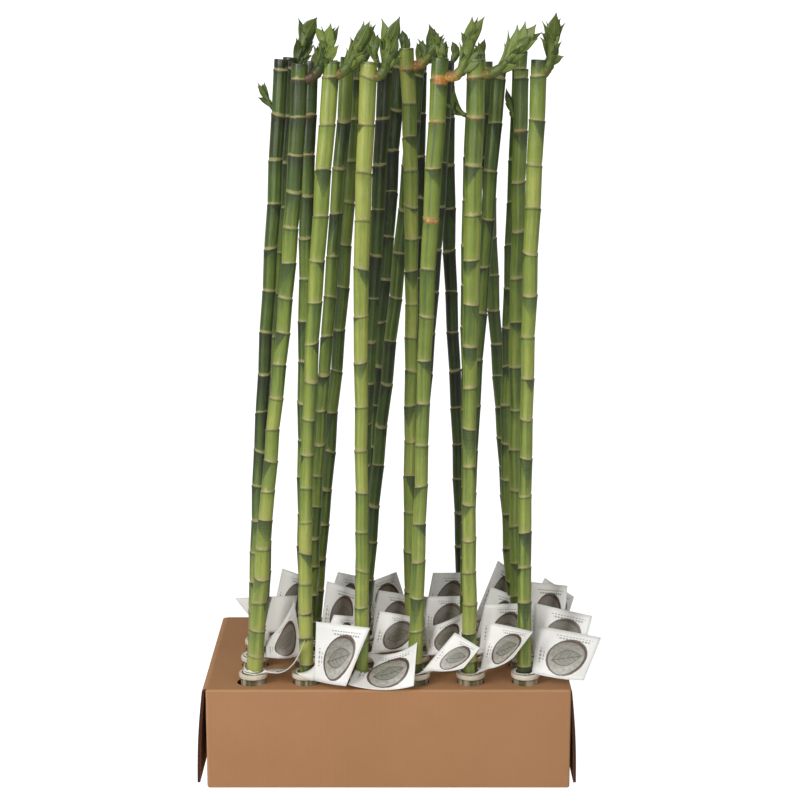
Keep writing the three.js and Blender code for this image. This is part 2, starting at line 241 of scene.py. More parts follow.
def folded_box():
    """The closed box with rounded folds outside and a square hollow inside."""
    shape = bmesh.new()

    def block(wall):
        sizes = [size - 2 * wall for size in (CARTON_WIDTH, CARTON_DEPTH, CARTON_HEIGHT)]
        return bmesh.ops.create_cube(shape, size=1, matrix=Matrix.Translation(
            (0, 0, CARTON_HEIGHT / 2)) @ Matrix.Diagonal((*sizes, 1)))["verts"]

    block(0)
    bmesh.ops.bevel(shape, geom=shape.edges[:], offset=FOLD_RADIUS, segments=3, profile=0.5,
                    affect="EDGES")
    inner = {face for vertex in block(BOARD) for face in vertex.link_faces}
    bmesh.ops.reverse_faces(shape, faces=list(inner))
    mesh = bpy.data.meshes.new("carton_box")
    shape.to_mesh(mesh)
    shape.free()
    return put("carton_box", mesh)


def first_of_all(tree):
    """1 at the first column's front hole, which is worn wide, and 0 at all others."""
    return Wire(tree, add_node(tree, "InputIndex").outputs[0]).does("LESS_THAN", 0.5)


def grid_of_holes(tree, wires):
    """Points in the middle of every hole, for the trees that put something there."""
    grid = add_node(tree, "MeshGrid", {
        "Size X": (wires["Columns"] - 1) * wires["Column Pitch"],
        "Size Y": (wires["Rows"] - 1) * wires["Row Pitch"],
        "Vertices X": wires["Columns"], "Vertices Y": wires["Rows"]})
    return add_node(tree, "SetPosition", {"Geometry": grid.outputs[0], "Offset": vector_of(
        tree, first_of_all(tree) * wires["First Aside"], wires["Middle Row"],
        wires["Level"])}).outputs[0]


GRID_INPUTS = [
    ("Columns", "Int", COLUMNS), ("Rows", "Int", ROWS), ("Column Pitch", "Float", COLUMN_PITCH),
    ("Row Pitch", "Float", ROW_PITCH), ("Middle Row", "Float", MIDDLE_ROW_Y),
    ("Level", "Float", 0.0), ("First Aside", "Float", 0.0)]

board_tree, takes, result = new_group(
    "board_surface", "ShaderNodeTree", [("Flute Pitch", "Float", 0.0072)], ["Tone", "Height"])
where = object_place(board_tree)
clouds = soft_noise(board_tree, where, 9, 3, 0.6)
fibres = soft_noise(board_tree, where, 1, 4, 0.7, stretch=(260, 900, 900))
specks = soft_noise(board_tree, where, 520, 1).rise(0.66, 0.74)
# The flutes under the liner: a faint bump of ridges, and in the colour faint painted shadow lines
# along them.
flute_ridges_and_shade = (parts(board_tree, where)[0] * math.tau / takes["Flute Pitch"]).does("SINE")
plug(board_tree, result,
     Tone=clouds * 0.75 + fibres * 0.35 - specks * 0.22 + flute_ridges_and_shade * 0.012 - 0.05,
     Height=fibres * 0.5 + flute_ridges_and_shade * 0.12 + clouds * 0.2)

fold_tree, _, result = new_group("fold_wear", "ShaderNodeTree", [], ["Wear"])
where = object_place(fold_tree)
across, back, height = parts(fold_tree, where)
to_end, to_front = CARTON_WIDTH / 2 - abs(across), CARTON_DEPTH / 2 - abs(back)
to_lid = CARTON_HEIGHT - height
nearest = to_front.does("MAXIMUM", to_lid)
for one, other in ((to_end, to_front), (to_end, to_lid), (to_front, height)):
    nearest = nearest.does("MINIMUM", one.does("MAXIMUM", other))
rub = soft_noise(fold_tree, where, 60, 3, 0.6) * 0.002
plug(fold_tree, result, Wear=1 - (nearest + rub).rise(0.0008, 0.0042))


def board_material(name, light, deep, worn):
    material, tree, shader = new_material(name, Roughness=0.82, Specular_IOR_Level=0.25)
    surface = use_group(tree, board_tree)
    colour = tint(tree, surface["Tone"], deep, light)
    if worn:
        wear = Wire(tree, use_group(tree, fold_tree)["Wear"]) * 0.45
        colour = tint(tree, wear, colour, (212, 166, 126))
    plug(tree, shader, Base_Color=colour, Normal=bump(tree, surface["Height"], 0.25, 0.0004))
    return material


kraft = board_material("kraft_board", (192, 143, 102), (170, 123, 84), worn=True)
cut_board = board_material("cut_board_edge", (84, 54, 38), (60, 38, 28), worn=False)

tree, wires, result = new_tree(
    "punched_holes", *GRID_INPUTS, ("Hole Radius", "Float", HOLE_RADIUS),
    ("Depth", "Float", 4 * BOARD), ("Wear", "Float", HOLE_WEAR))
die = add_node(tree, "MeshCylinder", {"Vertices": 48, "Radius": wires["Hole Radius"],
                                      "Depth": wires["Depth"]})
marked = add_node(tree, "StoreNamedAttribute", {
    "Geometry": die.outputs["Mesh"], "Name": "cut", "Value": True}, data_type="BOOLEAN",
    domain="FACE")
dies = add_node(tree, "InstanceOnPoints", {
    "Points": grid_of_holes(tree, wires), "Instance": marked.outputs[0],
    "Scale": vector_of(tree, first_of_all(tree) * wires["Wear"] + 1, 1, 1)})
punched = add_node(tree, "MeshBoolean", {"Mesh 1": wires["Geometry"], "Mesh 2": dies.outputs[0]},
                   operation="DIFFERENCE", solver="EXACT")
finish_tree(tree, result, punched.outputs[0], kraft, cut_board)

carton_box = grow(folded_box(), tree, Level=CARTON_HEIGHT, First_Aside=HOLE_SHIFT)
for edge in carton_box.data.edges:
    edge.use_edge_sharp = False


def flap(name, side):
    """A hanging flap: it bends round the fold at the end of the top and bows a little."""
    angle = math.radians(FLAP_SPREADS[side])
    bend, fold_steps, flap_steps, rows = BOARD + 0.0006, 4, 12, 10
    top = Vector((CARTON_WIDTH / 2 - 0.0022, CARTON_HEIGHT - 0.0001 - bend))
    skin = [(top + Vector((-0.001, bend)), Vector((0, 1)))]
    top.x += FLAP_SHIFTS[side]
    for step in range(fold_steps + 1):
        turn = (math.pi / 2 - angle) * step / fold_steps
        way = Vector((math.sin(turn), math.cos(turn)))
        skin.append((top + bend * way, way))
    down = Vector((math.sin(angle), -math.cos(angle)))
    out = Vector((math.cos(angle), math.sin(angle)))
    start = skin[-1][0]
    for step in range(1, flap_steps + 1):
        share = step / flap_steps
        bow = FLAP_BOW * math.sin(math.pi * share)
        skin.append((start + down * (FLAP_LENGTH - 0.003) * share + out * bow, out))
    profile = [p for p, _ in skin] + [p - n * BOARD for p, n in reversed(skin)]
    half, count = CARTON_DEPTH / 2 - FLAP_INSET, len(profile)
    vertices = [(side * p.x, -half + 2 * half * row / rows, p.y)
                for row in range(rows + 1) for p in profile]
    quads = [(row + i, row + (i + 1) % count, row + count + (i + 1) % count, row + count + i)
             for row in range(0, rows * count, count) for i in range(count)]
    for end in (range(count), range(rows * count, (rows + 1) * count)):
        quads += [(end[i], end[i + 1], end[count - 2 - i], end[count - 1 - i])
                  for i in range(count // 2 - 1)]
    mesh = bpy.data.meshes.new(name)
    mesh.from_pydata(vertices, [], quads)
    shape = bmesh.new()
    shape.from_mesh(mesh)
    bmesh.ops.recalc_face_normals(shape, faces=shape.faces)
    shape.to_mesh(mesh)
    shape.free()
    mesh.materials.append(kraft)
    mesh.materials.append(cut_board)
    for face in mesh.polygons:
        face.material_index = abs(face.normal.y) > 0.99 or face.normal.z < -0.9
    return put(name, mesh)


for piece in (carton_box, flap("left_flap", -1), flap("right_flap", 1)):
    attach(piece, "root")
    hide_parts("carton")


# Glass tubes: plain clear glass, slightly green, with a rounded closed foot. Each stands in a
# hole of the carton, and only the few millimetres under its collar show above the board.
COLLAR_TOP, COLLAR_HEIGHT = 0.126, 0.0055
TUBE_RADIUS, TUBE_BORE = 0.0140, 0.0123
TUBE_FOOT, TUBE_FLOOR = 0.0033, 0.0025
TUBE_SIDES = 36
# The front tube of the first column stands aside in its worn hole.
FIRST_ASIDE = 0.0023
TUBE_NODES = [f"tube_{column}_{row}" for column in range(1, COLUMNS + 1)
              for row in range(1, ROWS + 1)]


def new_piece(name, vertices, faces):
    mesh = bpy.data.meshes.new(name)
    mesh.from_pydata([tuple(v) for v in vertices], [], faces)
    mesh.update()
    mesh.shade_smooth()
    return put(name, mesh)


def turned(name, profile, sides):
    """A turned shape from a profile of radius and height, closed at the axis."""
    vertices, rings = [], []
    for radius, height in profile:
        start = len(vertices)
        rings.append(list(range(start, start + sides)) if radius else [start] * sides)
        vertices += [(radius * math.cos(math.tau * i / sides),
                      radius * math.sin(math.tau * i / sides), height)
                     for i in range(sides if radius else 1)]
    if profile[0] == profile[-1]:
        rings[-1] = rings[0]
        vertices = vertices[:-sides]
    faces = [list(dict.fromkeys((low[i], low[i + 1 - sides], high[i + 1 - sides], high[i])))
             for low, high in zip(rings, rings[1:]) for i in range(sides)]
    return new_piece(name, vertices, faces)


def in_every_hole(piece, name, material, level=0.0):
    """Puts a copy of the piece in every hole, each turned by a chance angle."""
    tree, wires, result = new_tree(name, *GRID_INPUTS, ("Seed", "Int", 4))
    turn = add_node(tree, "RandomValue", {0: (0, 0, 0), 1: (0, 0, math.tau),
                                          "Seed": wires["Seed"]}, data_type="FLOAT_VECTOR")
    copies = add_node(tree, "InstanceOnPoints", {
        "Points": grid_of_holes(tree, wires), "Instance": wires["Geometry"],
        "Rotation": turn.outputs[0]})
    finish_tree(tree, result, copies.outputs[0], material)
    return grow(piece, tree, Level=level, First_Aside=FIRST_ASIDE)


glass, tree, shader = new_material(
    "green_glass", Roughness=0.06, IOR=1.5, Transmission_Weight=0.45, Metallic=0.0)
# Cords are the faint streaks that run along a drawn glass tube; they give the bump. In the colour
# the same streaks are painted glints and painted dark reflections, pale and dark bands round the
# tube.
cords_and_glints = soft_noise(tree, object_place(tree), 1, stretch=(150, 150, 12))
plug(tree, shader, Normal=bump(tree, cords_and_glints, 0.1, 0.0004),
     Base_Color=tint(tree, cords_and_glints.rise(0.34, 0.66), (112, 110, 68), (216, 200, 172)))

rim = COLLAR_TOP - COLLAR_HEIGHT - 0.0004 - TUBE_FOOT
tube_profile = [
    (0, 0), (0.011, 0), (0.013, 0.0006), (TUBE_RADIUS, 0.003), (TUBE_RADIUS, rim / 2),
    (TUBE_RADIUS, rim), (TUBE_BORE, rim), (TUBE_BORE, rim / 2),
    (TUBE_BORE, TUBE_FLOOR + 0.002), (TUBE_BORE - 0.0012, TUBE_FLOOR + 0.0004), (0, TUBE_FLOOR)]
glass_tubes = in_every_hole(turned("glass_tubes", tube_profile, TUBE_SIDES), "tubes_in_holes",
                            glass, TUBE_FOOT)
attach(glass_tubes, "root")
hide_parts(*TUBE_NODES)


# Collars: a soft ring of creamy plastic, pressed over the mouth of each tube. It is
# wider than the tube and hides the tube's rim.
COLLAR_RADIUS, COLLAR_SIDES = 0.016, 40
collar_plastic, tree, shader = new_material("cream_plastic", Subsurface_Weight=0.15,
                                            Subsurface_Scale=0.004)
where = object_place(tree)
smudges = soft_noise(tree, where, 90, 3, 0.6)
plug(tree, shader, Roughness=smudges * 0.25 + 0.3,
     Base_Color=tint(tree, smudges.rise(0.35, 0.7), (226, 218, 200), (204, 192, 170)),
     Normal=bump(tree, soft_noise(tree, where, 700), 0.15, 0.0002))

low, top, bore = COLLAR_TOP - COLLAR_HEIGHT, COLLAR_TOP, TUBE_BORE + 0.0003
collar_profile = [
    (bore, low), (0.0152, low), (0.0158, low + 0.0004), (COLLAR_RADIUS, low + 0.0012),
    (COLLAR_RADIUS, top - 0.0016), (0.0157, top - 0.0006), (0.0150, top - 0.0001), (0.0143, top),
    (0.0130, top - 0.0001), (0.0125, top - 0.0006), (bore, top - 0.0016), (bore, low)]
collars = in_every_hole(turned("collars", collar_profile, COLLAR_SIDES), "collars_on_tubes",
                        collar_plastic)
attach(collars, "root")
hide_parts(*TUBE_NODES)


# Water: it fills each tube to about a hand's width, round the foot of the cane.
WATER_LEVEL = 0.098
water_body, tree, shader = new_material("water", Roughness=0.0, IOR=1.333,
                                        Transmission_Weight=1.0, Metallic=0.0)
plug(tree, shader, Base_Color=tint(tree, soft_noise(tree, object_place(tree), 60),
                                   (214, 228, 208), (228, 238, 226)))
reach, level = TUBE_BORE - 0.0002, WATER_LEVEL - TUBE_FOOT
water_profile = [(0, TUBE_FLOOR + 0.0002), (reach - 0.0014, TUBE_FLOOR + 0.0007),
                 (reach, TUBE_FLOOR + 0.0024), (reach, level + 0.0004), (reach - 0.0010, level),
                 (0, level)]
water = in_every_hole(turned("water", water_profile, TUBE_SIDES), "water_in_tubes", water_body,
                      TUBE_FOOT)
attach(water, "root")
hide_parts(*TUBE_NODES)


# Canes: cut lengths of a fresh green stem, bare of leaves. Each stands in its tube and leans
# as it likes. A ring marks each joint: it is the rim that the old leaf left, and the next
# length starts a little slimmer above it.
FOOT_RADIUS, BASE_RADIUS, WAIST_RADIUS, TOP_RADIUS = 0.0074, 0.0078, 0.0069, 0.0079
CANE_FLOOR = 0.0061
LOWEST_RING = COLLAR_TOP + 0.006
CANE_SIDES = 28
# How far a cane steps aside at each joint, in millimetres, and how much of it is chance.
KINK, KINK_CHANCE = 0.42, 0.5
# How far the rings tilt to the side and to the back, and over what height the tilt fades.
SIDE_TILT, BACK_TILT, TILT_FADE = 0.17, 0.12, 0.007
MOST_RINGS = 30
# How stout single canes are near the foot, and near the top.
STOUT = {(1, 1): 1.13, (4, 1): 1.04, (5, 1): 1.05, (1, 2): 1.04}
STOUT_ABOVE = {(1, 1): 1.08, (2, 1): 1.10, (3, 1): 1.12, (4, 1): 1.12, (5, 1): 1.20, (6, 1): 1.07}
# How orange single rings are, counted from the top.
RUSTY = {(1, 1): {0: 0.6}, (2, 1): {0: 0.5, 1: 0.5}, (3, 1): {0: 0.4, 1: 0.5},
         (4, 1): {0: 1.2, 1: 0.55, 3: 0.85}, (4, 2): {0: 0.6}, (5, 1): {0: 0.45, 1: 0.5},
         (1, 2): {1: 0.5}, (6, 2): {1: 0.5}, (2, 2): {1: 0.5, 2: 0.4}, (3, 3): {2: 0.5},
         (1, 3): {2: 0.4}}
# How far single rings lie above or below an even row of rings, in millimetres.
NUDGES = {(4, 1): {0: -9, 2: 5, 3: 4}, (5, 1): {0: -5, 1: 5, 2: 2.5}}

# One line for each cane: column, row; how far its centre lies to the right of its tube's
# centre at the collar and at its cut top; how far the top leans back; two bends on the way;
# the cut top's height; the highest ring's height; the lengths between the rings near the
# top, half way and at the foot; and how dark it is at the foot, half way and at the top.
# The canes behind the front row are darker, partly in their own green and partly as painted shade
# where the canes in front shade them.
CANES = [
    (1, 1, 3.4, 61, -6, 2, -2, 788, 771, (39, 36, 31), (0.10, 0.35, 0.88)),
    (1, 2, 0, 38, 5, -4, -1, 791, 780, (48, 44, 28), (0.40, 0.82, 0.88)),
    (1, 3, 3.2, 45, -4, -4, -2, 792, 778, (50, 46, 34), (0.50, 0.60, 0.85)),
    (1, 4, 0, 42, 8, -3, 0, 786, 772, (47, 45, 35), (0.60, 0.70, 0.85)),
    (2, 1, 0.5, 34, -8, -9, -1, 791, 775, (50, 41, 30), (0.04, 0.30, 0.30)),
    (2, 2, -3.2, 9, 4, -5, 0, 789, 773, (40, 45, 28), (0.50, 0.60, 0.90)),
    (2, 3, -0.5, 47, 6, -4, -1, 792, 778, (56, 41, 32), (0.50, 0.60, 0.50)),
    (2, 4, 2, 53, 9, 4, -1, 788, 766, (44, 48, 30), (0.60, 0.65, 0.55)),
    (3, 1, 0, 11, -5, -4, 2, 790, 775, (49, 48, 31), (0.32, 0.30, 0.16)),
    (3, 2, 1.4, 28, 7, -6, -2, 787, 776, (49, 46, 36), (0.70, 0.80, 0.95)),
    (3, 3, -1, 63, -6, -1, -1, 782, 772, (48, 48, 36), (0.60, 0.70, 0.80)),
    (3, 4, 1, 41, 6, -2, -2, 791, 780, (46, 49, 36), (0.70, 0.80, 0.90)),
    (4, 1, -1, 25, -7, -4, 1, 794, 780, (53, 46, 34), (0.18, 0.42, 0.46)),
    (4, 2, -3.2, -10, -2, 1, -2, 803, 781, (37, 37, 46), (0.25, 0.25, 0.20)),
    (4, 3, 0.7, 34, 6, -4, -2, 788, 776, (50, 45, 35), (0.70, 0.80, 0.90)),
    (4, 4, -3, 5, 10, 0, 0, 784, 774, (47, 45, 36), (0.80, 0.85, 0.95)),
    (5, 1, -0.8, 2, -6, -4, 0, 793, 778, (49, 44, 30), (0.18, 0.34, 0.42)),
    (5, 2, -3.2, 3, 2, -4, 2, 797, 782, (47, 45, 36), (0.60, 0.70, 0.75)),
    (5, 3, -0.4, 31, 5, -6, -1, 779, 770, (50, 52, 36), (0.70, 0.70, 0.75)),
    (5, 4, -3.2, -24, 8, -2, 2, 787, 776, (54, 44, 36), (0.95, 1.00, 1.00)),
    (6, 1, -1, 6, -5, -5, 0, 792, 776, (46, 44, 35), (0.45, 0.32, 0.30)),
    (6, 2, -3.2, -9, 4, -5, -1, 781, 770, (56, 46, 34), (0.45, 0.50, 0.55)),
    (6, 3, -3.2, -6, 6, -12, -2, 799, 778, (50, 44, 36), (0.60, 0.65, 0.70)),
    (6, 4, -3.2, -41, 9, -4, 2, 786, 776, (52, 38, 32), (0.70, 0.75, 0.80)),
]


def smooth(value, low, high):
    share = min(1, max(0, (value - low) / (high - low)))
    return share * share * (3 - 2 * share)


def mix(first, second, share):
    return first + (second - first) * share


class Cane:
    """Where one cane's centre, rings and surface are."""

    def __init__(self, column, row, *lengths, joints, tones):
        self.name, self.at = f"cane_{column}_{row}", (column, row)
        self.x = (column - (COLUMNS + 1) / 2) * COLUMN_PITCH
        self.y = FRONT_ROW_Y + (row - 1) * ROW_PITCH
        self.foot, self.top, self.back, self.bow, self.sway, self.height, self.ring = (
            length / 1000 for length in lengths)
        self.joints, self.tones = joints, tones
        chance = random.Random(7 * column + 31 * row)
        self.kinks = [
            Vector((side + chance.uniform(-KINK_CHANCE, KINK_CHANCE),
                    chance.uniform(-KINK_CHANCE, KINK_CHANCE), 0)) / 1000
            for side in (-KINK, KINK) * (MOST_RINGS // 2)]
        self.tilts = [(chance.gauss(0, SIDE_TILT), chance.gauss(0, BACK_TILT))
                      for _ in range(MOST_RINGS)]
        self.girth, self.upper_girth = STOUT.get(self.at, 1), STOUT_ABOVE.get(self.at, 1)

    def drop(self, ring):
        """How far a ring lies below the highest one. Half way down is counted in rings."""
        upper, middle, lower = self.joints
        half_way = 7.5
        curve = (upper - 2 * middle + lower) / (2 * half_way ** 2)
        slope = (middle - upper) / half_way - half_way * curve
        return (upper * ring + slope * ring ** 2 / 2 + curve * ring ** 3 / 3) / 1000

    def rings(self):
        heights = []
        while self.ring - self.drop(len(heights)) >= LOWEST_RING:
            nudge = NUDGES.get(self.at, {}).get(len(heights), 0) / 1000
            heights.append(self.ring - self.drop(len(heights)) + nudge)
        return heights

    def share(self, z):
        return (z - COLLAR_TOP) / (self.height - COLLAR_TOP)

    def centre(self, z):
        if z < COLLAR_TOP:
            return Vector((self.x + self.foot * (2 * z / COLLAR_TOP - 1), self.y, z))
        t = self.share(z)
        bend = self.bow * 4 * t * (1 - t) + self.sway * math.sin(math.tau * t)
        middle = Vector((self.x + mix(self.foot, self.top, t) + bend, self.y + self.back * t, z))
        return middle + self.kink(z) * smooth(z, COLLAR_TOP + 0.01, COLLAR_TOP + 0.07)

    def kink(self, z):
        """The small step aside that the cane takes from joint to joint."""
        rings = self.rings()
        if z >= rings[0] or len(rings) < 2:
            return self.kinks[0]
        for number, (upper, lower) in enumerate(zip(rings, rings[1:])):
            if lower <= z < upper:
                share = (upper - z) / (upper - lower)
                return self.kinks[number].lerp(self.kinks[number + 1], share)
        return self.kinks[len(rings) - 1]

    def nearest(self, z):
        """The number and the height of the ring nearest to a height."""
        return min(enumerate(self.rings()), key=lambda entry: abs(entry[1] - z))

    def rust(self, z):
        """How orange the ring nearest to a height is."""
        return RUSTY.get(self.at, {}).get(self.nearest(z)[0], 0.0)

    def lean(self, z):
        """How far the ring nearest to a height is tilted, right and back."""
        number, ring = self.nearest(z)
        if ring < COLLAR_TOP + 0.012 or z > self.height - 0.003:
            return 0.0, 0.0
        return tuple(tilt * math.exp(-abs(z - ring) / TILT_FADE) for tilt in self.tilts[number])

    def radius(self, z):
        t = self.share(z)
        lower = mix(BASE_RADIUS, WAIST_RADIUS, smooth(t, 0, 0.4))
        radius = mix(lower, TOP_RADIUS, smooth(t, 0.4, 0.95))
        return radius * mix(self.girth, 1, smooth(t, 0.1, 0.7)) * mix(
            1, self.upper_girth, smooth(t, 0.3, 0.7))

    def tone(self, z):
        t = self.share(z)
        foot, middle, top = self.tones
        return mix(foot, middle, t * 2) if t < 0.5 else mix(middle, top, smooth(t, 0.5, 0.95))

    def stations(self):
        """The surface from foot to cut top: height, radius, joint number and length, cut."""
        rings = self.rings()
        spots = [CANE_FLOOR] + rings[::-1] + [self.height]
        found = [(CANE_FLOOR, 0.0005, len(rings) + 0.999, 0.05, 1),
                 (CANE_FLOOR, FOOT_RADIUS - 0.0008, len(rings) + 0.999, 0.05, 0.2)]
        for number, (low, high) in enumerate(zip(spots, spots[1:])):
            span = high - low
            joint = len(rings) - number
            is_foot, is_stub = number == 0, number == len(spots) - 2
            steps = [0.0006, 0.03, 0.06] if is_foot else [0.0004, 0.0012, 0.0026, 0.005, 0.010]
            room = span - steps[-1]
            steps += [steps[-1] + room * share for share in (0.3, 0.6)]
            steps += [span - gap for gap in (0.0055, 0.0030, 0.0014, 0.0003)]
            for step in sorted(step for step in set(steps) if 0.0003 < step <= span - 0.0003):
                z = low + step
                shape = 1 + 0.002 * math.sin(number * 2.1)
                # It is slimmer just above a ring and swells just under the next.
                if not is_foot:
                    shape -= 0.055 * math.exp(-((step / 0.0022) ** 1.2))
                    shape -= 0.022 * math.exp(-step / 0.011)
                if not is_stub:
                    shape += 0.062 * math.exp(-(span - step) / 0.0022)
                    shape += 0.014 * math.exp(-(span - step) / 0.009)
                radius = self.radius(z) * shape
                if is_foot:
                    radius = mix(FOOT_RADIUS, radius, step / span)
                found.append((z, radius, joint - step / span, span, 0))
            if not is_stub:
                found.append((high, self.radius(high) * 1.045, joint - 1, span, 0))
        rim, last = self.radius(self.height) * 0.985, self.height
        found = [entry for entry in found if entry[0] < last - 0.0004]
        found += [(last - gap, radius, -1 + 0.0001, self.height - rings[0], cut)
                  for gap, radius, cut in (
                      (0.00035, rim, 0), (0.00012, rim * 0.965, 0), (0.00008, rim * 0.90, 0.3),
                      (0.00006, rim * 0.80, 0.8), (0.00004, rim * 0.45, 1), (0, 0.0003, 1))]
        return found


canes = {entry[:2]: Cane(*entry[:9], joints=entry[9], tones=entry[10]) for entry in CANES}

tree, wires, result = new_tree(
    "jointed_stem", ("Sides", "Int", CANE_SIDES), ("Thickness", "Float", 1.0),
    ("Skin", "Material"))
path = add_node(tree, "MeshToCurve", {"Mesh": wires["Geometry"]})
named = {name: add_node(tree, "InputNamedAttribute", {"Name": name}, data_type=kind).outputs[0]
         for name, kind in (("girth", "FLOAT"), ("round", "FLOAT_VECTOR"), ("lean_x", "FLOAT"),
                            ("lean_y", "FLOAT"))}
circle = add_node(tree, "CurvePrimitiveCircle", {"Resolution": wires["Sides"], "Radius": 1.0})
circle = add_node(tree, "StoreNamedAttribute", {
    "Geometry": circle.outputs[0], "Name": "round",
    "Value": add_node(tree, "InputPosition").outputs[0]}, data_type="FLOAT_VECTOR", domain="POINT")
swept = add_node(tree, "CurveToMesh", {
    "Curve": path.outputs[0], "Profile Curve": circle.outputs[0],
    "Scale": Wire(tree, named["girth"]) * wires["Thickness"], "Fill Caps": True})
right, back, _ = parts(tree, named["round"])
lift = (right * named["lean_x"] + back * named["lean_y"]) * named["girth"]
tilted = add_node(tree, "SetPosition", {
    "Geometry": swept.outputs[0], "Offset": vector_of(tree, z=lift)})
finish_tree(tree, result, tilted.outputs[0], wires["Skin"])
sweep_tree = tree


def along_path(name, points, values):
    """A line of points, with the named values of each, for the sweep."""
    mesh = bpy.data.meshes.new(name)
    mesh.from_pydata(points, [(i, i + 1) for i in range(len(points) - 1)], [])
    for key, numbers in values.items():
        mesh.attributes.new(key, "FLOAT", "POINT").data.foreach_set("value", numbers)
    return put(name, mesh)


def attribute(tree, name, kind="Fac"):
    return Wire(tree, add_node(tree, "Attribute", attribute_name=name).outputs[kind])


class Paint:
    """A colour that is painted over, layer by layer."""

    def __init__(self, tree, colour):
        self.tree, self.colour = tree, colour

    def over(self, share, colour):
        self.colour = tint(self.tree, share, self.colour, colour)


tree, takes, result = new_group(
    "cane_skin", "ShaderNodeTree",
    ["Joint", "Span", ("Round", "Vector"), "Tone", "Seed", "Cut", ("Radius", "Float", 0.0074),
     "Rust"], [("Color", "Color"), "Roughness", "Height"])
joint, span, round_way, deep, seed, cut, radius, rusty = takes.values()
whole = joint.does("FLOOR")
part = joint - whole
below, above = part * span, (1 - part) * span
dice = add_node(tree, "TexWhiteNoise", {"W": whole + seed * 61}, noise_dimensions="1D")
dice = add_node(tree, "SeparateColor", {0: dice.outputs["Color"]})
first, second, third = (Wire(tree, socket) for socket in dice.outputs)
round_x, round_y, _ = parts(tree, round_way)


def turn_from(angle):
    """How far round the cane a point lies from an angle, from 0 to pi."""
    facing = round_x * angle.does("COSINE") + round_y * angle.does("SINE")
    return facing.does("MINIMUM", 0.9999).does("MAXIMUM", -0.9999).does("ARCCOSINE")


bud_side = whole.does("MODULO", 2) * math.pi + seed * 40 + first * 1.4
place = vector_of(tree, round_x * 2.4, round_y * 2.4, joint * 1.4 + seed * 90)
streaks = soft_noise(tree, place, 2.2, 4, 0.62, stretch=(2.6, 2.6, 0.35))
mottle = soft_noise(tree, place, 1.6, 3, 0.55, stretch=(1, 1, 1.6))
fine = soft_noise(tree, place, 2.5, stretch=(9, 9, 3))
# The broad bands are soft stripes along the cane: partly the skin's own streaks, partly painted
# highlights.
bands_and_highlights = soft_noise(tree, place, 0.75, 1, stretch=(1, 1, 0.16))
edge_wave = soft_noise(tree, place, 3.2) - 0.5

tone = deep + (second - 0.5) * 0.36 + (streaks - 0.5) * 0.24 + (mottle - 0.5) * 0.36
tone = tone + (bands_and_highlights - 0.5) * 0.9 + (1 - below.rise(0.0, 0.022)) * 0.14
tone = tone - (1 - above.rise(0.0, 0.016)) * 0.06
skin = Paint(tree, (172, 178, 84))
skin.over(tone.rise(-0.05, 0.42), (126, 144, 55))
skin.over(tone.rise(0.36, 0.75), (73, 95, 35))
# The deep tones of the rear canes reach this near-black layer: partly their own dark green, partly
# painted shade.
skin.over(tone.rise(0.72, 1.15), (32, 35, 18))
skin.over((1 - above.rise(0.0005, 0.010)) * 0.22 * (1 - deep.rise(0.3, 0.9)), (172, 174, 100))

# The dark patch above a ring, where the old leaf kept the light off.
patch_turn = turn_from(bud_side + 0.6 + third * 2.2)
reach = (0.25 + second * 0.65) * span
patch_depth = reach * (1 - patch_turn / (0.9 + first * 1.7)) + edge_wave * 0.004
patch = (patch_depth - below + edge_wave * 0.004).rise(-0.0008, 0.0022)
patch = patch * (1 - (below / reach).rise(0.2, 1.2) * 0.8) * third.rise(0.05, 0.55)
skin.over(patch * 0.85, tint(tree, deep, (50, 72, 26), (26, 36, 20)))

# What is left of the old leaf under a ring: a rim of dry sheath and the bud's scar.
old_sheath = (0.0016 + edge_wave * 0.0035 + first * 0.0020 - above).rise(-0.0002, 0.0005)
skin.over(old_sheath * 0.7, (176, 168, 112))
scar_turn = turn_from(bud_side + 2.6) * radius
scar = ((1 - above / 0.0065) * 0.0034 - scar_turn).rise(-0.0002, 0.0006) * third.rise(0.35, 0.45)
skin.over(scar * 0.5, (196, 182, 128))

ring_gap = above.does("MINIMUM", below + (whole * -1).rise(0.4, 0.6))
ring_line = 1 - (ring_gap + (fine - 0.5) * 0.0011 + edge_wave * 0.0012).rise(0.0001, 0.0006)
ring = Paint(tree, (184, 176, 108))
ring.over((streaks * 1.4 - 0.2 + (first - 0.5) * 0.5).rise(0.2, 0.8), (132, 100, 56))
ring.over((deep - 0.3).rise(0, 0.7) * 0.75, (88, 82, 50))
ring_strength = (0.15 + streaks.rise(0.36, 0.66) * 0.75) * (1.1 - deep * 0.45)
skin.over(ring_line * ring_strength, ring.colour)
# Painted shadow: a thin dark line just under each ring, where the ring's rim shades the top of the
# length below.
skin.over((1 - abs(below - 0.0017).rise(0.0003, 0.0014)) * 0.5, (52, 58, 24))

# Rust on single rings, on the side where the shoot has broken out.
rust_gap = ring_gap + (0.5 - fine) * 0.004 - rusty.rise(0.8, 1.2) * 0.0018
rust = rusty * (1 - rust_gap.rise(0.0014, 0.0038))
rust = rust * ((streaks - 0.50) * 5 + rusty * 1.4 - 0.3).does("MAXIMUM", 0)
rust_turn = turn_from(rusty * 1.5 + 1.95) - rusty * 0.7
rust = rust.does("MINIMUM", 0.88) * (1 - rust_turn.rise(0.1, 0.7) * 0.85)
skin.over(rust, tint(tree, mottle.rise(0.4, 0.6), (214, 150, 52), (178, 108, 70)))

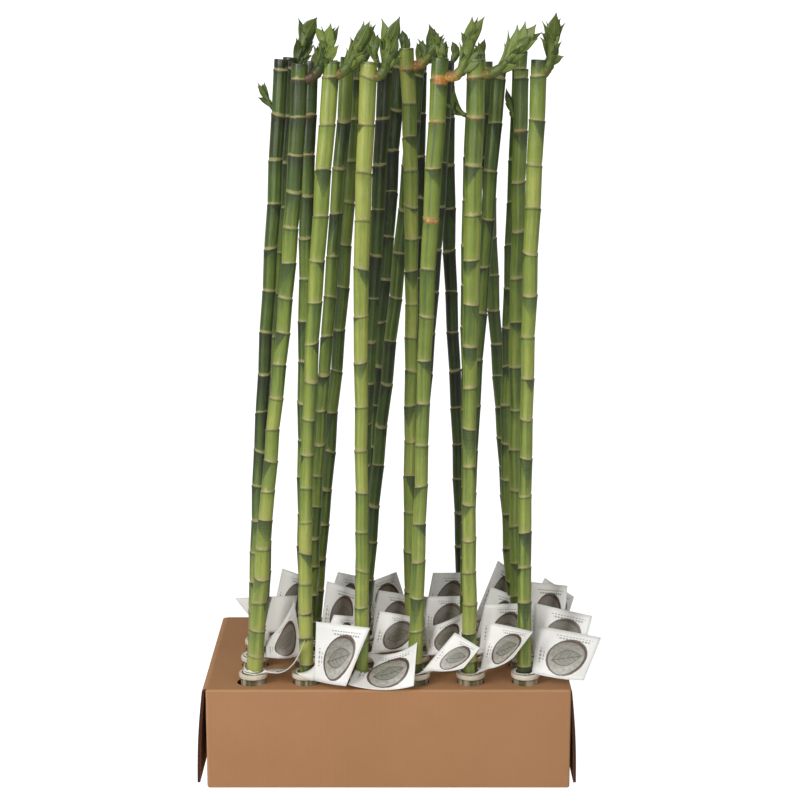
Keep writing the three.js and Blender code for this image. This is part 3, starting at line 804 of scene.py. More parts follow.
# Thin pale streaks and a grey-green waxy bloom: partly the skin's own marks and wax, partly
# painted sheen.
scratch_and_sheen = (streaks + fine * 0.3).rise(0.82, 0.90) * (mottle - 0.1).rise(0.35, 0.5)
skin.over(scratch_and_sheen * 0.5, (196, 196, 140))
bloom_and_sheen = mottle.rise(0.46, 0.72) * (1 - streaks.rise(0.35, 0.7)) * (0.34 - deep * 0.24)
skin.over(bloom_and_sheen, (132, 146, 112))
skin.over(cut.rise(0.1, 0.6), tint(tree, fine, (60, 62, 40), (92, 84, 56)))
plug(tree, result, Color=skin.colour,
     Roughness=0.25 + mottle * 0.15 + ring_line * 0.3 + cut * 0.4,
     Height=streaks * 0.5 + fine * 0.2 + ring_line * 0.6 + old_sheath * 0.5 + scar * 0.8)
skin_tree = tree

stem_skin, tree, shader = new_material("stem_skin", Specular_IOR_Level=0.6, Coat_Weight=0.3,
                                       Coat_Roughness=0.2)
feeds = {key: attribute(tree, "girth" if key == "Radius" else key.lower())
         for key in ("Joint", "Span", "Tone", "Seed", "Cut", "Radius", "Rust")}
surface = use_group(tree, skin_tree, {**feeds, "Round": attribute(tree, "round", "Vector")})
plug(tree, shader, Base_Color=surface["Color"], Roughness=surface["Roughness"],
     Normal=bump(tree, surface["Height"], 0.35, 0.0005))

for number, cane in enumerate(canes.values()):
    heights, girths, joints, spans, cuts = zip(*cane.stations())
    tilts_x, tilts_y = zip(*(cane.lean(z) for z in heights))
    points = [tuple(cane.centre(z)) for z in heights]
    stem = along_path(f"stem_{cane.at[0]}_{cane.at[1]}", points, {
        "girth": girths, "joint": joints, "span": spans, "cut": cuts,
        "tone": [cane.tone(z) for z in heights], "rust": [cane.rust(z) for z in heights],
        "lean_x": tilts_x, "lean_y": tilts_y, "seed": [0.31 + 0.618 * number] * len(heights)})
    grow(stem, sweep_tree, Sides=CANE_SIDES, Skin=stem_skin)
    stem.data.shade_smooth()
    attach(stem, "root")
    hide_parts(cane.name)


# Shoots: at a ring near the top of each cane a bud has grown out sideways and turned up. Its
# short stalk is wrapped in the sheaths of young pointed leaves, which fan out at its tip.
# One entry for each shoot: column, row, ring; the stalk's start, bend and end from the middle
# of the ring in millimetres (right, back, up); and its leaves: where each leaves the stalk,
# in hundredths of its length, its tip and its half width.
SHOOTS = [
    (1, 1, 0, ((8, 1, 0), (27, -5, 4), (26, -12, 36)), (
        (55, 24, -14, 55, 3.2), (80, 34, -18, 58, 5.6), (70, 42, -8, 56, 3.6),
        (60, 42, -20, 36, 4.4), (35, 15, -8, 37, 3.6))),
    (2, 1, 0, ((7, 0, 1), (18, -5, 3), (27, -10, 28)), (
        (35, 17, -4, 29, 3), (50, 21, -6, 40, 3.4), (60, 27, -10, 43, 4), (85, 35, -6, 57, 3.2),
        (95, 41, -12, 56, 5.4), (80, 47, -4, 53, 4.2))),
    (3, 1, 0, ((6, 0, 0), (21, -6, -4), (19, -12, 30)), (
        (50, 9, -8, 42, 5), (75, 14, -12, 59, 5), (85, 33, -14, 61, 6), (70, 31, -20, 43, 5.4),
        (60, 35, -10, 28, 4))),
    (4, 1, 0, ((7, 0, -7), (25, -4, -15), (29, -8, 31)), (
        (45, 20, -6, 30, 3.4), (80, 33, -12, 56, 5.6), (85, 39, -6, 55, 4),
        (90, 46, -12, 56, 4.4), (60, 41, 0, 27, 3.2))),
    (4, 1, 0, ((0, 0, 6), (1, 2, 12), (2, 3, 15)), (
        (30, 5, 2, 28, 3.4), (70, 10, 5, 25, 3.2), (60, -2, 0, 20, 2.6))),
    (5, 1, 0, ((7, 0, -1), (22, -10, -5), (42, -20, 27)), (
        (45, 32, -8, 45, 2.8), (70, 41, -16, 50, 5.6), (85, 49, -20, 53, 5.6),
        (95, 60, -24, 50, 6), (90, 67, -14, 42, 4), (75, 62, -26, 36, 3.2))),
    (6, 1, 0, ((8, 0, 1), (15, -2, 10), (12, -5, 32)), (
        (60, 7, -2, 55, 3), (80, 17, -6, 64, 7), (90, 22, 0, 58, 4), (85, 27, 2, 53, 3.2),
        (50, 1, -2, 39, 3.6), (70, 3, 2, 55, 2.8))),
    (1, 2, 1, ((-3, 0, 3), (-9, 0, 10), (-13, 0, 20)), (
        (50, -22, -4, 35, 2.4), (90, -15, 2, 35, 2.4), (40, -22, -5, 19, 2.4),
        (75, -17, 3, 23, 2.2))),
    (2, 2, 0, ((-3, 0, 3), (1, -3, 9), (6, -6, 18)), (
        (50, 8, -6, 28, 3.4), (90, 12, -2, 22, 3))),
    (3, 2, 0, ((-5, 0, 2), (-10, 0, 13), (-11, 0, 23)), (
        (40, -18, 2, 38, 3.6), (80, -15, 4, 52, 3.8), (90, -7, -3, 41, 4))),
    (4, 2, 0, ((7, 0, 6), (21, -3, 3), (27, -5, 22)), (
        (50, 11, 0, 32, 3.6), (75, 23, -8, 47, 6), (90, 29, -4, 42, 4.6), (85, 33, -12, 38, 4.4),
        (70, 40, -8, 33, 3.6))),
    (5, 2, 1, ((-3, 0, -9), (-10, 0, -4), (-15, 0, 1)), (
        (70, -23, 0, 0, 2.6), (50, -20, -2, 28, 3.6))),
    (6, 2, 1, ((-3, 0, 10), (-9, 0, 17), (-10, 0, 25)), (
        (60, -16, -3, 46, 3.6), (50, -13, -4, 21, 2.4))),
    (1, 3, 0, ((5, 0, 3), (12, 1, 14), (16, 2, 35)), (
        (80, 10, 4, 56, 3.4), (90, 31, -4, 57, 6.4), (50, 30, 8, 42, 3.2), (30, 8, -6, 35, 4.2))),
    (2, 3, 0, ((4, 0, 1), (9, 2, 9), (14, 4, 20)), (
        (50, 4, 2, 35, 3.6), (90, 18, 4, 34, 4))),
    (3, 3, 0, ((1, 0, 3), (3, 4, 15), (4, 8, 24)), (
        (50, 0, 6, 36, 3.2), (90, 7, 10, 39, 3.4))),
    (4, 3, 0, ((4, 0, 3), (9, 2, 11), (11, 5, 20)), (
        (50, 14, 4, 27, 3.4), (90, 7, 6, 33, 3.4))),
    (5, 3, 0, ((4, 0, 2), (11, 4, 8), (11, 8, 19)), (
        (60, 6, 6, 37, 4), (90, 15, 10, 39, 4.4))),
    (6, 3, 0, ((-4, 0, 3), (-7, 2, 11), (-9, 4, 18)), (
        (60, -15, 4, 29, 3.6), (90, -6, 6, 33, 4))),
    (1, 4, 0, ((8, 0, 5), (14, 2, 14), (17, 4, 25)), (
        (50, 24, 6, 20, 3.4), (80, 21, 0, 32, 3.4))),
    (2, 4, 0, ((4, 0, 2), (10, 3, 15), (11, 6, 26)), (
        (50, 19, 4, 40, 4), (90, 13, 6, 52, 4))),
    (3, 4, 0, ((5, 0, 4), (7, 3, 15), (7, 6, 24)), (
        (50, 14, 6, 32, 4), (90, 5, 6, 41, 4.2))),
    (4, 4, 0, ((1, 0, 2), (4, 3, 12), (5, 6, 18)), (
        (50, 10, 6, 30, 3.4), (90, 3, 6, 34, 3.4))),
    (5, 4, 0, ((0, 0, 2), (-2, 4, 12), (-4, 8, 19)), (
        (60, -9, 6, 28, 3), (90, -1, 8, 33, 3))),
    (6, 4, 0, ((-1, 0, 2), (-3, 4, 12), (-4, 8, 19)), (
        (50, -9, 6, 30, 3.4), (90, -1, 8, 35, 3.4))),
]
STALK_RADIUS, STALK_STEPS, STALK_SIDES = 0.0054, 42, 12
LEAF_THICKNESS, LEAF_STEPS, THINNEST_EDGE = 0.0006, 14, 0.00015
HIGHEST_TIP = 0.8398
# Where across a leaf its points lie, from one edge to the other.
LEAF_COLUMNS = (-1, -0.66, -0.33, 0, 0.33, 0.66, 1)
# A shoot shorter than the first length has a thinner stalk, and one shorter than the second
# has fewer leaves.
SHORT_STALK, SHORT_SHOOT = 0.025, 0.026
# How orange the shoots are. All others are green, and so is a cane's second one, which is
# the fifth in the table.
GREEN_BLUSH, GREEN_SHOOT = 0.2, 4
BLUSHING = {(1, 1): 0.8, (2, 1): 0.5, (3, 1): 0.5, (4, 1): 0.85, (4, 2): 0.9, (5, 1): 0.5,
            (6, 1): 0.4}

leaf_skin, tree, shader = new_material("young_leaf", Roughness=0.42, Specular_IOR_Level=0.45)
side, length, _ = parts(tree, add_node(tree, "UVMap", uv_map="leaf").outputs[0])
where = object_place(tree)
blotch = soft_noise(tree, where, 120, 3, 0.6)
specks = soft_noise(tree, where, 460)
veins = (side * 46 + blotch * 1.2).does("SINE") * 0.5 + 0.5
rib = 1 - abs(side - 0.5).rise(0.015, 0.07)
tones, blush = attribute(tree, "tone"), attribute(tree, "blush")
green = Paint(tree, (122, 139, 58))
green.over(tones + (blotch - 0.5) * 0.5, (44, 63, 22))
green.over(veins * 0.34, (40, 58, 22))
green.over(rib * 0.30, (150, 164, 90))
green.over((1 - length.rise(0.0, 0.4)) * 0.30, (138, 152, 78))
green.over(length.rise(0.9, 1.0) * 0.6, (60, 56, 36))
tan = tint(tree, blotch.rise(0.4, 0.6), (214, 156, 62), (166, 112, 70))
green.over((blush * (blotch + 0.45)).rise(0.25, 0.85) * 0.85,
           tint(tree, tones.rise(0.2, 1.0), tan, (92, 58, 44)))
green.over(blush * specks.rise(0.5, 0.62) * 0.6, (78, 72, 38))
plug(tree, shader, Base_Color=green.colour, Normal=bump(tree, veins + rib * 2, 0.3, 0.0003))


def curve_point(points, share):
    start, bend, end = points
    return start.lerp(bend, share).lerp(bend.lerp(end, share), share)


def curve_heading(points, share):
    start, bend, end = points
    return (bend - start).lerp(end - bend, share).normalized()


class Sheets:
    """Grids of points that are collected in one mesh."""

    def __init__(self):
        self.points, self.faces = [], []

    def add(self, rows, closed=False):
        """Adds a grid of (point, place on the pattern, values)."""
        start, wide = len(self.points), len(rows[0])
        self.points += [entry for row in rows for entry in row]
        for a in range(start, len(self.points) - wide, wide):
            for c in range(wide if closed else wide - 1):
                b = a + (c + 1) % wide
                self.faces.append((a + c, b, b + wide, a + c + wide))
        return start

    def piece(self, name, pattern, labels, materials, thickness=0):
        """The mesh, with its UV map, named values and materials, and a thickness if any."""
        piece = new_piece(name, [entry[0] for entry in self.points], self.faces)
        mesh = piece.data
        layer = mesh.uv_layers.new(name=pattern)
        for loop in mesh.loops:
            layer.data[loop.index].uv = self.points[loop.vertex_index][1]
        for place, label in enumerate(labels, 2):
            mesh.attributes.new(label, "FLOAT", "POINT").data.foreach_set(
                "value", [entry[place] for entry in self.points])
        for material in materials:
            mesh.materials.append(material)
        if thickness:
            shell = piece.modifiers.new("thickness", "SOLIDIFY")
            shell.thickness, shell.offset = thickness, 0
            shell.material_offset = shell.material_offset_rim = len(materials) - 1
            finish_mesh(piece)
        return piece


def add_leaf(sheets, stalk, share, tip, half_width, tone, twist, blush):
    """A pointed blade whose foot wraps the stalk and whose tip bends away from it."""
    root = curve_point(stalk, share)
    tip = Vector((tip.x, tip.y, min(tip.z, HIGHEST_TIP)))
    reach = (tip - root).length
    aim = (tip - root).normalized()
    bend = root + curve_heading(stalk, share) * reach * 0.45 + aim * reach * 0.12
    spine = (root, bend, tip)
    rows = []
    for step in range(LEAF_STEPS + 1):
        t = step / LEAF_STEPS
        point, along = curve_point(spine, t), curve_heading(spine, t)
        width_way = along.cross(Vector((0, -1, 0))).normalized()
        face = width_way.cross(along).normalized()
        turn = Matrix.Rotation(math.radians(twist) * mix(0.6, 1, t), 3, along)
        width_way, face = turn @ width_way, turn @ face
        belly = math.sin(math.pi * min(1, 0.26 + 0.60 * t)) ** 0.8
        edge = max(half_width * belly * (1 - smooth(t, 0.60, 1.05) ** 1.3), THINNEST_EDGE)
        arc = mix(3.6, 0.5, smooth(t, 0.05, 0.6))
        radius = edge / (arc / 2)
        row = []
        for q in LEAF_COLUMNS:
            angle = q * arc / 2
            offset = width_way * radius * math.sin(angle)
            offset += face * radius * (math.cos(angle) - 1)
            offset += face * radius * mix(1, 0, smooth(t, 0.0, 0.5))
            row.append((point + offset, (0.5 + q / 2, t), tone, blush * (1 - t)))
        rows.append(row)
    sheets.add(rows)


def add_stalk(sheets, stalk, radius, tone, blush):
    """The stalk, which tapers and steps in where each sheath ends."""
    rows, sides = [], STALK_SIDES
    for step in range(STALK_STEPS + 1):
        t = step / STALK_STEPS
        along = curve_heading(stalk, t)
        wide = along.cross(Vector((0, 1, 0))).normalized()
        deep = wide.cross(along).normalized()
        size = radius * mix(0.95, 1.06, smooth(t, 0, 0.2)) * mix(1, 0.55, smooth(t, 0.3, 1))
        size *= 0.93 + 0.12 * ((step / 6) % 1) + 0.05 * math.sin(t * 19)
        if step == STALK_STEPS:
            size *= 0.3
        point = curve_point(stalk, t)
        row = []
        for i in range(sides):
            angle = math.tau * i / sides
            row.append((point + wide * size * math.cos(angle) + deep * size * math.sin(angle),
                        (0.28 + 0.1 * math.sin(3 * angle), 0.97 if step % 6 == 0 else 0.5),
                        tone, blush * (1 - t) ** 1.5 * 1.5))
        rows.append(row)
    start = sheets.add(rows, closed=True)
    foot, tip = (tuple(range(ring, ring + sides)) for ring in (start, start + STALK_STEPS * sides))
    sheets.faces += [foot[::-1], tip]


for number, (column, row, ring, stalk, leaves) in enumerate(SHOOTS):
    cane = canes[column, row]
    middle = cane.centre(cane.ring - cane.drop(ring))
    chance = random.Random(40 + number)
    stalk = [middle + Vector(point) / 1000 for point in stalk]
    stalk[0] = middle.lerp(stalk[0], 0.45)
    long = (stalk[2] - stalk[0]).length
    blush = GREEN_BLUSH if number == GREEN_SHOOT else BLUSHING.get(cane.at, GREEN_BLUSH)
    # Shoots behind the front row are darker: partly their own deeper green, partly painted shade
    # where the front row shades them.
    tone_and_shade = 0.32 if row == 1 else 0.58
    wide = 0.00128 if ring == 0 else 0.00115
    size = STALK_RADIUS * (1 if row == 1 or cane.at == (4, 2) else 0.62)
    size *= 0.7 if long < SHORT_STALK else 1
    bark = {(1, 1): 0.95, (4, 1): 0.15, (4, 2): 0.1}.get(cane.at, tone_and_shade + 0.2)
    shoot, blades = Sheets(), Sheets()
    add_stalk(shoot, stalk, size, bark, blush)
    for share, *tip, half_width in leaves:
        add_leaf(blades, stalk, share / 100 - 0.12, middle + Vector(tip) / 1000, half_width * wide,
                 tone_and_shade + chance.uniform(-0.35, 0.4), chance.uniform(-38, 38), blush * 0.4)
    for turn in range(10 if long > SHORT_SHOOT else 5):
        share = mix(0.32, 0.95, turn / 9)
        around = turn * 2.4 + number
        outward = Vector((math.cos(around), 0.7 * math.sin(around), 0)) * size
        tip = curve_point(stalk, share) + outward * chance.uniform(1.1, 2.2)
        tip += curve_heading(stalk, share) * long * chance.uniform(0.36, 0.60)
        add_leaf(blades, stalk, share, tip, size * chance.uniform(0.70, 0.95),
                 tone_and_shade + chance.uniform(-0.5, 0.55), chance.uniform(-25, 25), blush * 0.3)
    for turn in range(6 if ring == 0 and long > SHORT_SHOOT else 2):
        share = chance.uniform(0.45, 0.9)
        tip = curve_point(stalk, share)
        tip += curve_heading(stalk, share) * chance.uniform(0.012, 0.021)
        tip += Vector((chance.uniform(-0.009, 0.009), chance.uniform(-0.008, 0.004),
                       chance.uniform(-0.001, 0.004)))
        add_leaf(blades, stalk, share - 0.08, tip, chance.uniform(0.0024, 0.0038),
                 tone_and_shade + chance.uniform(-0.4, 0.6), chance.uniform(-60, 60), 0.0)
    for kind, sheets, thickness in (("stalk", shoot, 0), ("leaves", blades, LEAF_THICKNESS)):
        piece = sheets.piece(f"{kind}_{number + 1}", "leaf", ("tone", "blush"), (leaf_skin,),
                             thickness)
        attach(piece, "root")
        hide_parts(cane.name)


# Tags: a card of coated white stock hangs from a ring round each cane's foot. The ring lies on
# the collar, and the card stands up from it and leans on its neighbours. It is printed with
# a leaf in an oval and a few plain bars.
TAG_THICKNESS = 0.0004
LOBE_RADIUS, LOBE_HOLE, LOBE_SIDES = 0.0126, 0.0098, 32
TAG_LEVEL = COLLAR_TOP + 0.0006
# The hole in the one card that its cane goes through, how far right of the cane it lies,
# and how much room it leaves round the cane.
CARD_HOLE, CARD_HOLE_ASIDE, CARD_HOLE_ROOM = 0.0106, 0.0036, 0.0088
# A spot of the pattern without print.
BLANK = (0.02, 0.02)

# One line for each tag: column, row; the card's corners in millimetres (lower near, lower
# far, upper far, upper near); and how far its middle bows back.
TAGS = [
    (1, 1, ((-136, -118, 132), (-100, -121, 146), (-91, -120, 167), (-123, -78, 120)), 3),
    (2, 1, ((-81, -123, 122), (-46, -138, 121), (-20, -122, 182), (-79, -112, 186)), 2),
    (3, 1, ((-44, -133, 121), (28, -137, 121), (31, -120, 166), (-27, -86, 144)), 3),
    (4, 1, ((39, -117, 133), (82, -136, 141), (100, -133, 163), (73, -110, 173)), 1),
    (5, 1, ((101, -112, 131), (136, -138, 154), (158, -122, 178), (112, -96, 180)), 3),
    (6, 1, ((158, -112, 127), (213, -136, 127), (234, -108, 166), (166, -90, 174)), 2),
    (1, 2, ((-138, -59, 127), (-97, -71, 135), (-106, -55, 193), (-140, -37, 138)), 5),
    (2, 2, ((-80, -55, 132), (-41, -75, 134), (-34, -60, 175), (-62, -43, 172)), 2),
    (3, 2, ((-20, -57, 131), (26, -77, 144), (37, -64, 175), (-10, -45, 177)), 2),
    (4, 2, ((44, -55, 128), (79, -77, 144), (87, -63, 182), (39, -39, 154)), 3),
    (5, 2, ((102, -56, 133), (147, -75, 134), (158, -66, 193), (108, -51, 186)), 2),
    (6, 2, ((162, -55, 128), (214, -77, 128), (230, -55, 174), (165, -37, 184)), 2),
    (1, 3, ((-147, 4, 135), (-111, -14, 145), (-106, 4, 180), (-179, 14, 174)), 3),
    (2, 3, ((-80, 2, 132), (-42, -18, 134), (-33, -3, 187), (-72, 16, 194)), 3),
    (3, 3, ((-20, 2, 132), (22, -18, 134), (30, -3, 182), (-13, 16, 183)), 2),
    (4, 3, ((41, 2, 131), (85, -18, 134), (93, -3, 182), (41, 16, 175)), 2),
    (5, 3, ((101, 2, 131), (139, -18, 134), (149, -3, 180), (118, 16, 187)), 3),
    (6, 3, ((161, 2, 127), (199, -18, 134), (206, 0, 193), (157, 18, 193)), 2),
    (1, 4, ((-140, 59, 133), (-98, 43, 134), (-88, 54, 183), (-127, 71, 193)), 2),
    (2, 4, ((-80, 59, 132), (-39, 41, 133), (-32, 54, 187), (-61, 73, 188)), 3),
    (3, 4, ((-19, 59, 133), (25, 41, 142), (9, 54, 194), (-35, 73, 171)), 3),
    (4, 4, ((41, 59, 133), (86, 41, 137), (95, 54, 193), (52, 73, 187)), 2),
    (5, 4, ((101, 59, 135), (138, 43, 136), (143, 54, 194), (129, 73, 202)), 4),
    (6, 4, ((161, 59, 132), (208, 41, 134), (219, 57, 162), (185, 73, 181)), 3),
]

# The tag that shows its plain side, and the one whose card its own cane goes through.
PLAIN_SIDE_OUT, HOLED = (1, 3), (3, 1)
# How far the middle of the lower and of the upper edge hangs down, in millimetres.
SAGS = {(1, 1): (6, 8), (2, 1): (1, 0), (3, 1): (4, 7.5), (4, 1): (3, 0), (5, 1): (2.5, -1),
        (6, 1): (1.5, -1), (1, 2): (3, 1), (4, 2): (2, 1)}

tree, takes, result = new_group(
    "card_print", "ShaderNodeTree", ["Across", "Up", ("Card", "Color"), "Ageing"],
    [("Color", "Color"), "Ink"])
across, up, card, oval_shade = takes.values()
grain = soft_noise(tree, vector_of(tree, across, up), 14, 3, 0.6)
right, rise = across - 0.55, (up - 0.44) * 0.69
tilt = math.radians(14)
along = right * math.cos(tilt) + rise * math.sin(tilt)
aside = rise * math.cos(tilt) - right * math.sin(tilt)
oval = ((along / 0.33) * (along / 0.33) + (aside / 0.25) * (aside / 0.25)).does("SQRT")
inside = 1 - oval.rise(0.97, 1.0)
leaf_edge = (1 - (along / 0.25) * (along / 0.25)) * 0.11 + (grain - 0.5) * 0.02
in_leaf = (leaf_edge - abs(aside)).rise(-0.002, 0.006)
leaf_line = 1 - abs(leaf_edge - abs(aside)).rise(0.003, 0.010)
midrib = 1 - abs(aside).rise(0.003, 0.009)
ribs = ((along - abs(aside) * 1.1) * 78).does("SINE").rise(0.72, 0.95)
fill = Paint(tree, (126, 122, 110))
fill.over(grain.rise(0.3, 0.7) * 0.5 - aside * 1.6 + 0.25, (192, 190, 178))
fill.over(in_leaf * 0.5, (116, 114, 102))
fill.over((in_leaf * ribs * 0.4 + in_leaf * midrib * 0.7).does("MINIMUM", 1), (62, 66, 58))
fill.over(leaf_line * inside * 0.8, (66, 70, 62))
# Painted shade: the oval's picture is darker on the cards behind the front row, where the front
# row shades them.
fill.over(oval_shade, (104, 92, 78))
printed = Paint(tree, card)
printed.over(inside, fill.colour)
thick = 0.042 + (along * 9).does("SINE") * 0.03 + (grain - 0.5) * 0.06
outline = 1 - (abs(oval - 1.0) - thick).rise(0.0, 0.04)
printed.over(outline * 0.95, tint(tree, grain.rise(0.5, 0.7), (66, 46, 34), (126, 66, 46)))


def bar(left, right, low, high):
    """A plain printed bar with soft edges."""
    soft = 0.003
    wide = across.rise(left - soft, left + soft) * (1 - across.rise(right - soft, right + soft))
    return wide * up.rise(low - soft, low + soft) * (1 - up.rise(high - soft, high + soft))


breaks, side_breaks = ((way * often).does("SINE").rise(-0.75, -0.25)
                       for way, often in ((across, 120), (up, 80)))
bars = (bar(0.30, 0.90, 0.875, 0.890) + bar(0.34, 0.86, 0.815, 0.845)) * breaks
bars = bars + (bar(0.085, 0.115, 0.26, 0.56) + bar(0.150, 0.165, 0.32, 0.50)) * side_breaks
bars = (bars * (0.5 + grain * 0.4)).does("MINIMUM", 1)
printed.over(bars, (104, 104, 98))
plug(tree, result, Color=printed.colour, Ink=(inside * 0.6 + outline + bars).does("MINIMUM", 1))
print_tree = tree

card_tree, takes, result = new_group(
    "card_stock", "ShaderNodeTree", [("Whiteness", "Float", 1.0)], [("Color", "Color"), "Height"])
where = object_place(card_tree)
white = soft_noise(card_tree, where, 22).rise(0.25, 0.75) * takes["Whiteness"]
plug(card_tree, result, Color=tint(card_tree, white, (236, 233, 226), (251, 250, 246)),
     Height=soft_noise(card_tree, where, 900))

card_front, tree, shader = new_material("printed_card", Specular_IOR_Level=0.5)
stock = use_group(tree, card_tree)
across, up, _ = parts(tree, add_node(tree, "UVMap", uv_map="card").outputs[0])
ink = use_group(tree, print_tree, {"Across": across, "Up": up, "Card": stock["Color"],
                                   "Ageing": attribute(tree, "oval_shade")})
plug(tree, shader, Base_Color=ink["Color"], Roughness=Wire(tree, ink["Ink"]) * -0.08 + 0.40,
     Normal=bump(tree, stock["Height"], 0.06, 0.0002))

card_back, tree, shader = new_material("plain_card", Roughness=0.6, Specular_IOR_Level=0.4)
stock = use_group(tree, card_tree, {"Whiteness": 0.1})
plug(tree, shader, Base_Color=stock["Color"], Normal=bump(tree, stock["Height"], 0.1, 0.0002))


def tag(column, row, corners, bow):
    """One tag: a ring on the collar, a tongue that rises from it, and the standing card."""
    near_low, far_low, far_high, near_high = (Vector(corner) / 1000 for corner in corners)
    back = -(far_high - near_low).cross(near_high - far_low).normalized()
    chance = random.Random(column * 10 + row)
    dog_ear = chance.uniform(-0.002, 0.004)
    # Painted shade on the ovals of the cards behind the front row; the front row's cards keep them
    # light.
    oval_shade = 0.05 if row == 1 else chance.uniform(0.55, 0.8)

    def card(across, up):
        point = near_low.lerp(far_low, across).lerp(near_high.lerp(far_high, across), up)
        point += back * (bow / 1000) * 4 * across * (1 - across)
        point.z -= mix(*SAGS.get((column, row), (1, 0)), up) / 250 * across * (1 - across)
        return point - back * dog_ear * (across * up) ** 3

    cane = canes[column, row]
    middle = cane.centre(TAG_LEVEL)
    holed = cane.at == HOLED
    sheets = Sheets()

    def add_blank(rows):
        sheets.add([[(point, BLANK, oval_shade) for point in points] for points in rows])

    wide, high = (44, 30) if holed else (14, 12)
    sheets.add([[(card(c / wide, r / high), (c / wide, r / high), oval_shade) for c in range(wide + 1)]
                for r in range(high + 1)])
    if holed:
        points = [point for point, *_ in sheets.points]
        away = [point - cane.centre(point.z) - Vector((CARD_HOLE_ASIDE, 0, 0)) for point in points]
        inside = {i for i, way in enumerate(away) if way.length < CARD_HOLE
                  or (points[i] - cane.centre(points[i].z)).length < CARD_HOLE_ROOM}
        for i, way in enumerate(away):
            if CARD_HOLE - 0.0012 < way.length < CARD_HOLE:
                points[i] += way.normalized() * (CARD_HOLE - way.length)
                inside.discard(i)
        sheets.faces = [face for face in sheets.faces if not inside.intersection(face)]
    else:
        start = len(sheets.points)
        for i in range(LOBE_SIDES):
            angle = math.tau * i / LOBE_SIDES
            way = Vector((math.cos(angle), math.sin(angle), 0))
            lift = Vector((0, 0, 0.0002 * math.sin(i * 0.6 + column)))
            sheets.points += [(middle + way * radius + lift, BLANK, oval_shade)
                              for radius in (LOBE_HOLE, LOBE_RADIUS)]
            a, b = start + 2 * i, start + 2 * ((i + 1) % LOBE_SIDES)
            sheets.faces.append((a, a + 1, b + 1, b))
        rise = max(0, TAG_LEVEL + 0.0012 - near_low.z) / (near_high.z - near_low.z) + 0.03
        ends = [card(0.0, 0.02) - back * 0.0003, card(0.24, rise) - back * 0.0003]
        heading = (card(0.12, rise) - middle) * Vector((1, 1, 0))
        heading.normalize()
        sideways = heading.cross(Vector((0, 0, 1)))
        turn = 1 if (ends[0] - ends[1]).dot(sideways) > 0 else -1
        starts = [middle + heading * 0.0088 + sideways * turn * 0.0112,
                  middle + heading * 0.0106 - sideways * turn * 0.0062]
        strands = []
        for share in (0, 0.25, 0.5, 0.75, 1):
            begin, end = starts[0].lerp(starts[1], share), ends[0].lerp(ends[1], share)
            bend = begin.lerp(end, 0.6)
            bend.z = mix(begin.z, end.z, 0.15)
            strands.append((begin, bend, end))
        steps = 8
        if cane.at == (2, 1):
            # The near edge of this card reaches round in front of the cane's foot.
            strands = [(Vector((-0.1004, -0.1125, 0.1272)), Vector(bend), card(0, up))
                       for bend, up in (((-0.092, -0.1222, 0.1208), 0.0),
                                        ((-0.092, -0.1212, 0.1268), 0.08),
                                        ((-0.087, -0.1128, 0.1278), 0.26))]
            steps = 12
        add_blank([[curve_point(strand, step / steps) for strand in strands]
                   for step in range(steps + 1)])
    if cane.at == (1, 1):
        # The twisted end of this tag stands on edge round the left and front of the foot.
        rows = []
        for step in range(13):
            share = step / 12
            angle = mix(2.7, 5.3, share)
            way = Vector((math.cos(angle), math.sin(angle), 0)) * mix(0.0112, 0.0104, share)
            foot = middle + way + Vector((0, 0, 0.0006 + 0.0012 * share))
            rows.append([foot, foot + way * 0.06 + Vector(
                (0, 0, mix(0.0078, 0.0014, share) - 0.0022 * abs(math.sin(10 * share))))])
        add_blank(rows)
    if cane.at == PLAIN_SIDE_OUT:
        sheets.faces = [face[::-1] for face in sheets.faces]
    return sheets.piece(f"tag_card_{column}_{row}", "card", ("oval_shade",), (card_front, card_back),
                        TAG_THICKNESS)


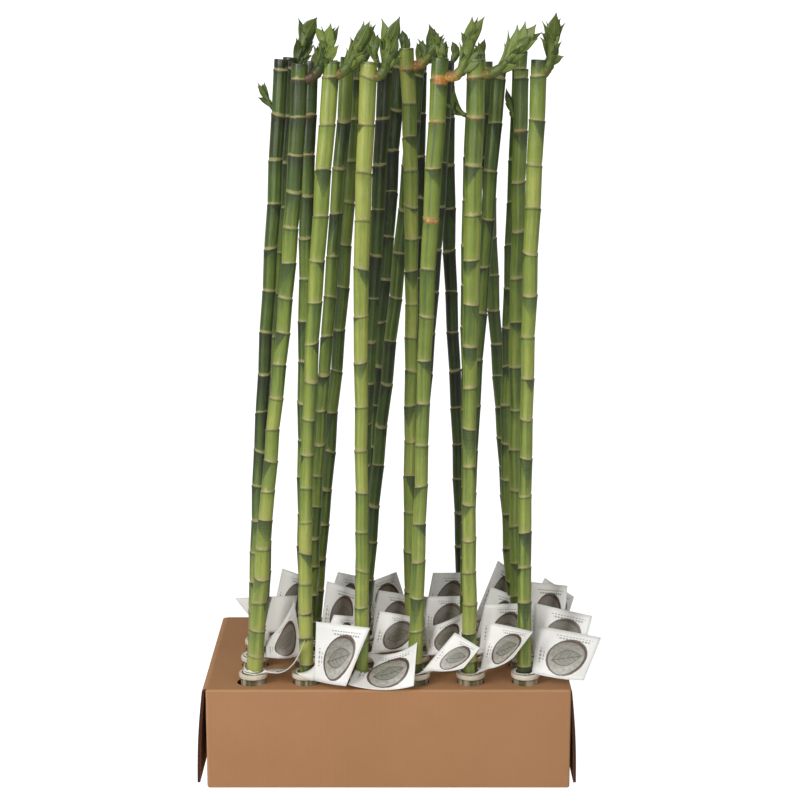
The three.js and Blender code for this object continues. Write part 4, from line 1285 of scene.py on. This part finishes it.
for column, row, corners, bow in TAGS:
    piece = tag(column, row, corners, bow)
    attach(piece, "root")
    if f"tag_{column}_{row}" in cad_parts:
        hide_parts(f"tag_{column}_{row}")


# Studio: a white floor that runs far back and curves up into a white wall, under a white
# sky, with three soft lamps in front; the one at the left draws the pale lines on the canes.
paper, tree, shader = new_material("studio_white", Roughness=0.9, Specular_IOR_Level=0.1,
                                   Base_Color=(0.50, 0.50, 0.50, 1),
                                   Emission_Color=(1, 1, 1, 1))
seen = Wire(tree, add_node(tree, "LightPath").outputs["Is Camera Ray"])
plug(tree, shader, Emission_Strength=seen * 0.85 + 0.15)
sweep = [(-3.0, 0.0), (0.0, 0.0), (1.5, 0.0), (3.0, 0.0)]
sweep += [(3.0 + 1.5 * math.sin(a), 1.5 - 1.5 * math.cos(a))
          for a in [math.pi / 2 * step / 10 for step in range(1, 11)]] + [(4.5, 5.0)]
studio = new_piece("studio_floor", [(x, y, z) for y, z in sweep for x in (-4.0, 4.0)],
                   [(2 * i, 2 * i + 1, 2 * i + 3, 2 * i + 2) for i in range(len(sweep) - 1)])
studio.data.materials.append(paper)

sky = bpy.data.worlds.new("white_sky")
sky.use_nodes = True
tree = sky.node_tree
seen = Wire(tree, add_node(tree, "LightPath").outputs["Is Camera Ray"])
plug(tree, tree.nodes["Background"], Color=(1, 1, 1, 1), Strength=seen * 0.72 + 0.28)
bpy.context.scene.world = sky
bpy.context.scene.view_settings.view_transform = "Standard"


def soft_lamp(name, place, aim, wide, high, power):
    lamp = bpy.data.lights.new(name, "AREA")
    lamp.shape = "RECTANGLE"
    lamp.size, lamp.size_y, lamp.energy = wide, high, power
    holder = put(name, lamp)
    holder.location = place
    holder.rotation_euler = (Vector(aim) - Vector(place)).to_track_quat("-Z", "Y").to_euler()


soft_lamp("left_lamp", (-1.4, -1.6, 1.5), (0, 0, 0.4), 0.48, 1.6, 29)
soft_lamp("right_lamp", (1.2, -1.8, 1.4), (0, 0, 0.4), 0.30, 1.6, 3)
soft_lamp("front_lamp", (-0.3, -2.4, 1.25), (0, 0, 0.3), 1.0, 0.9, 14.2)
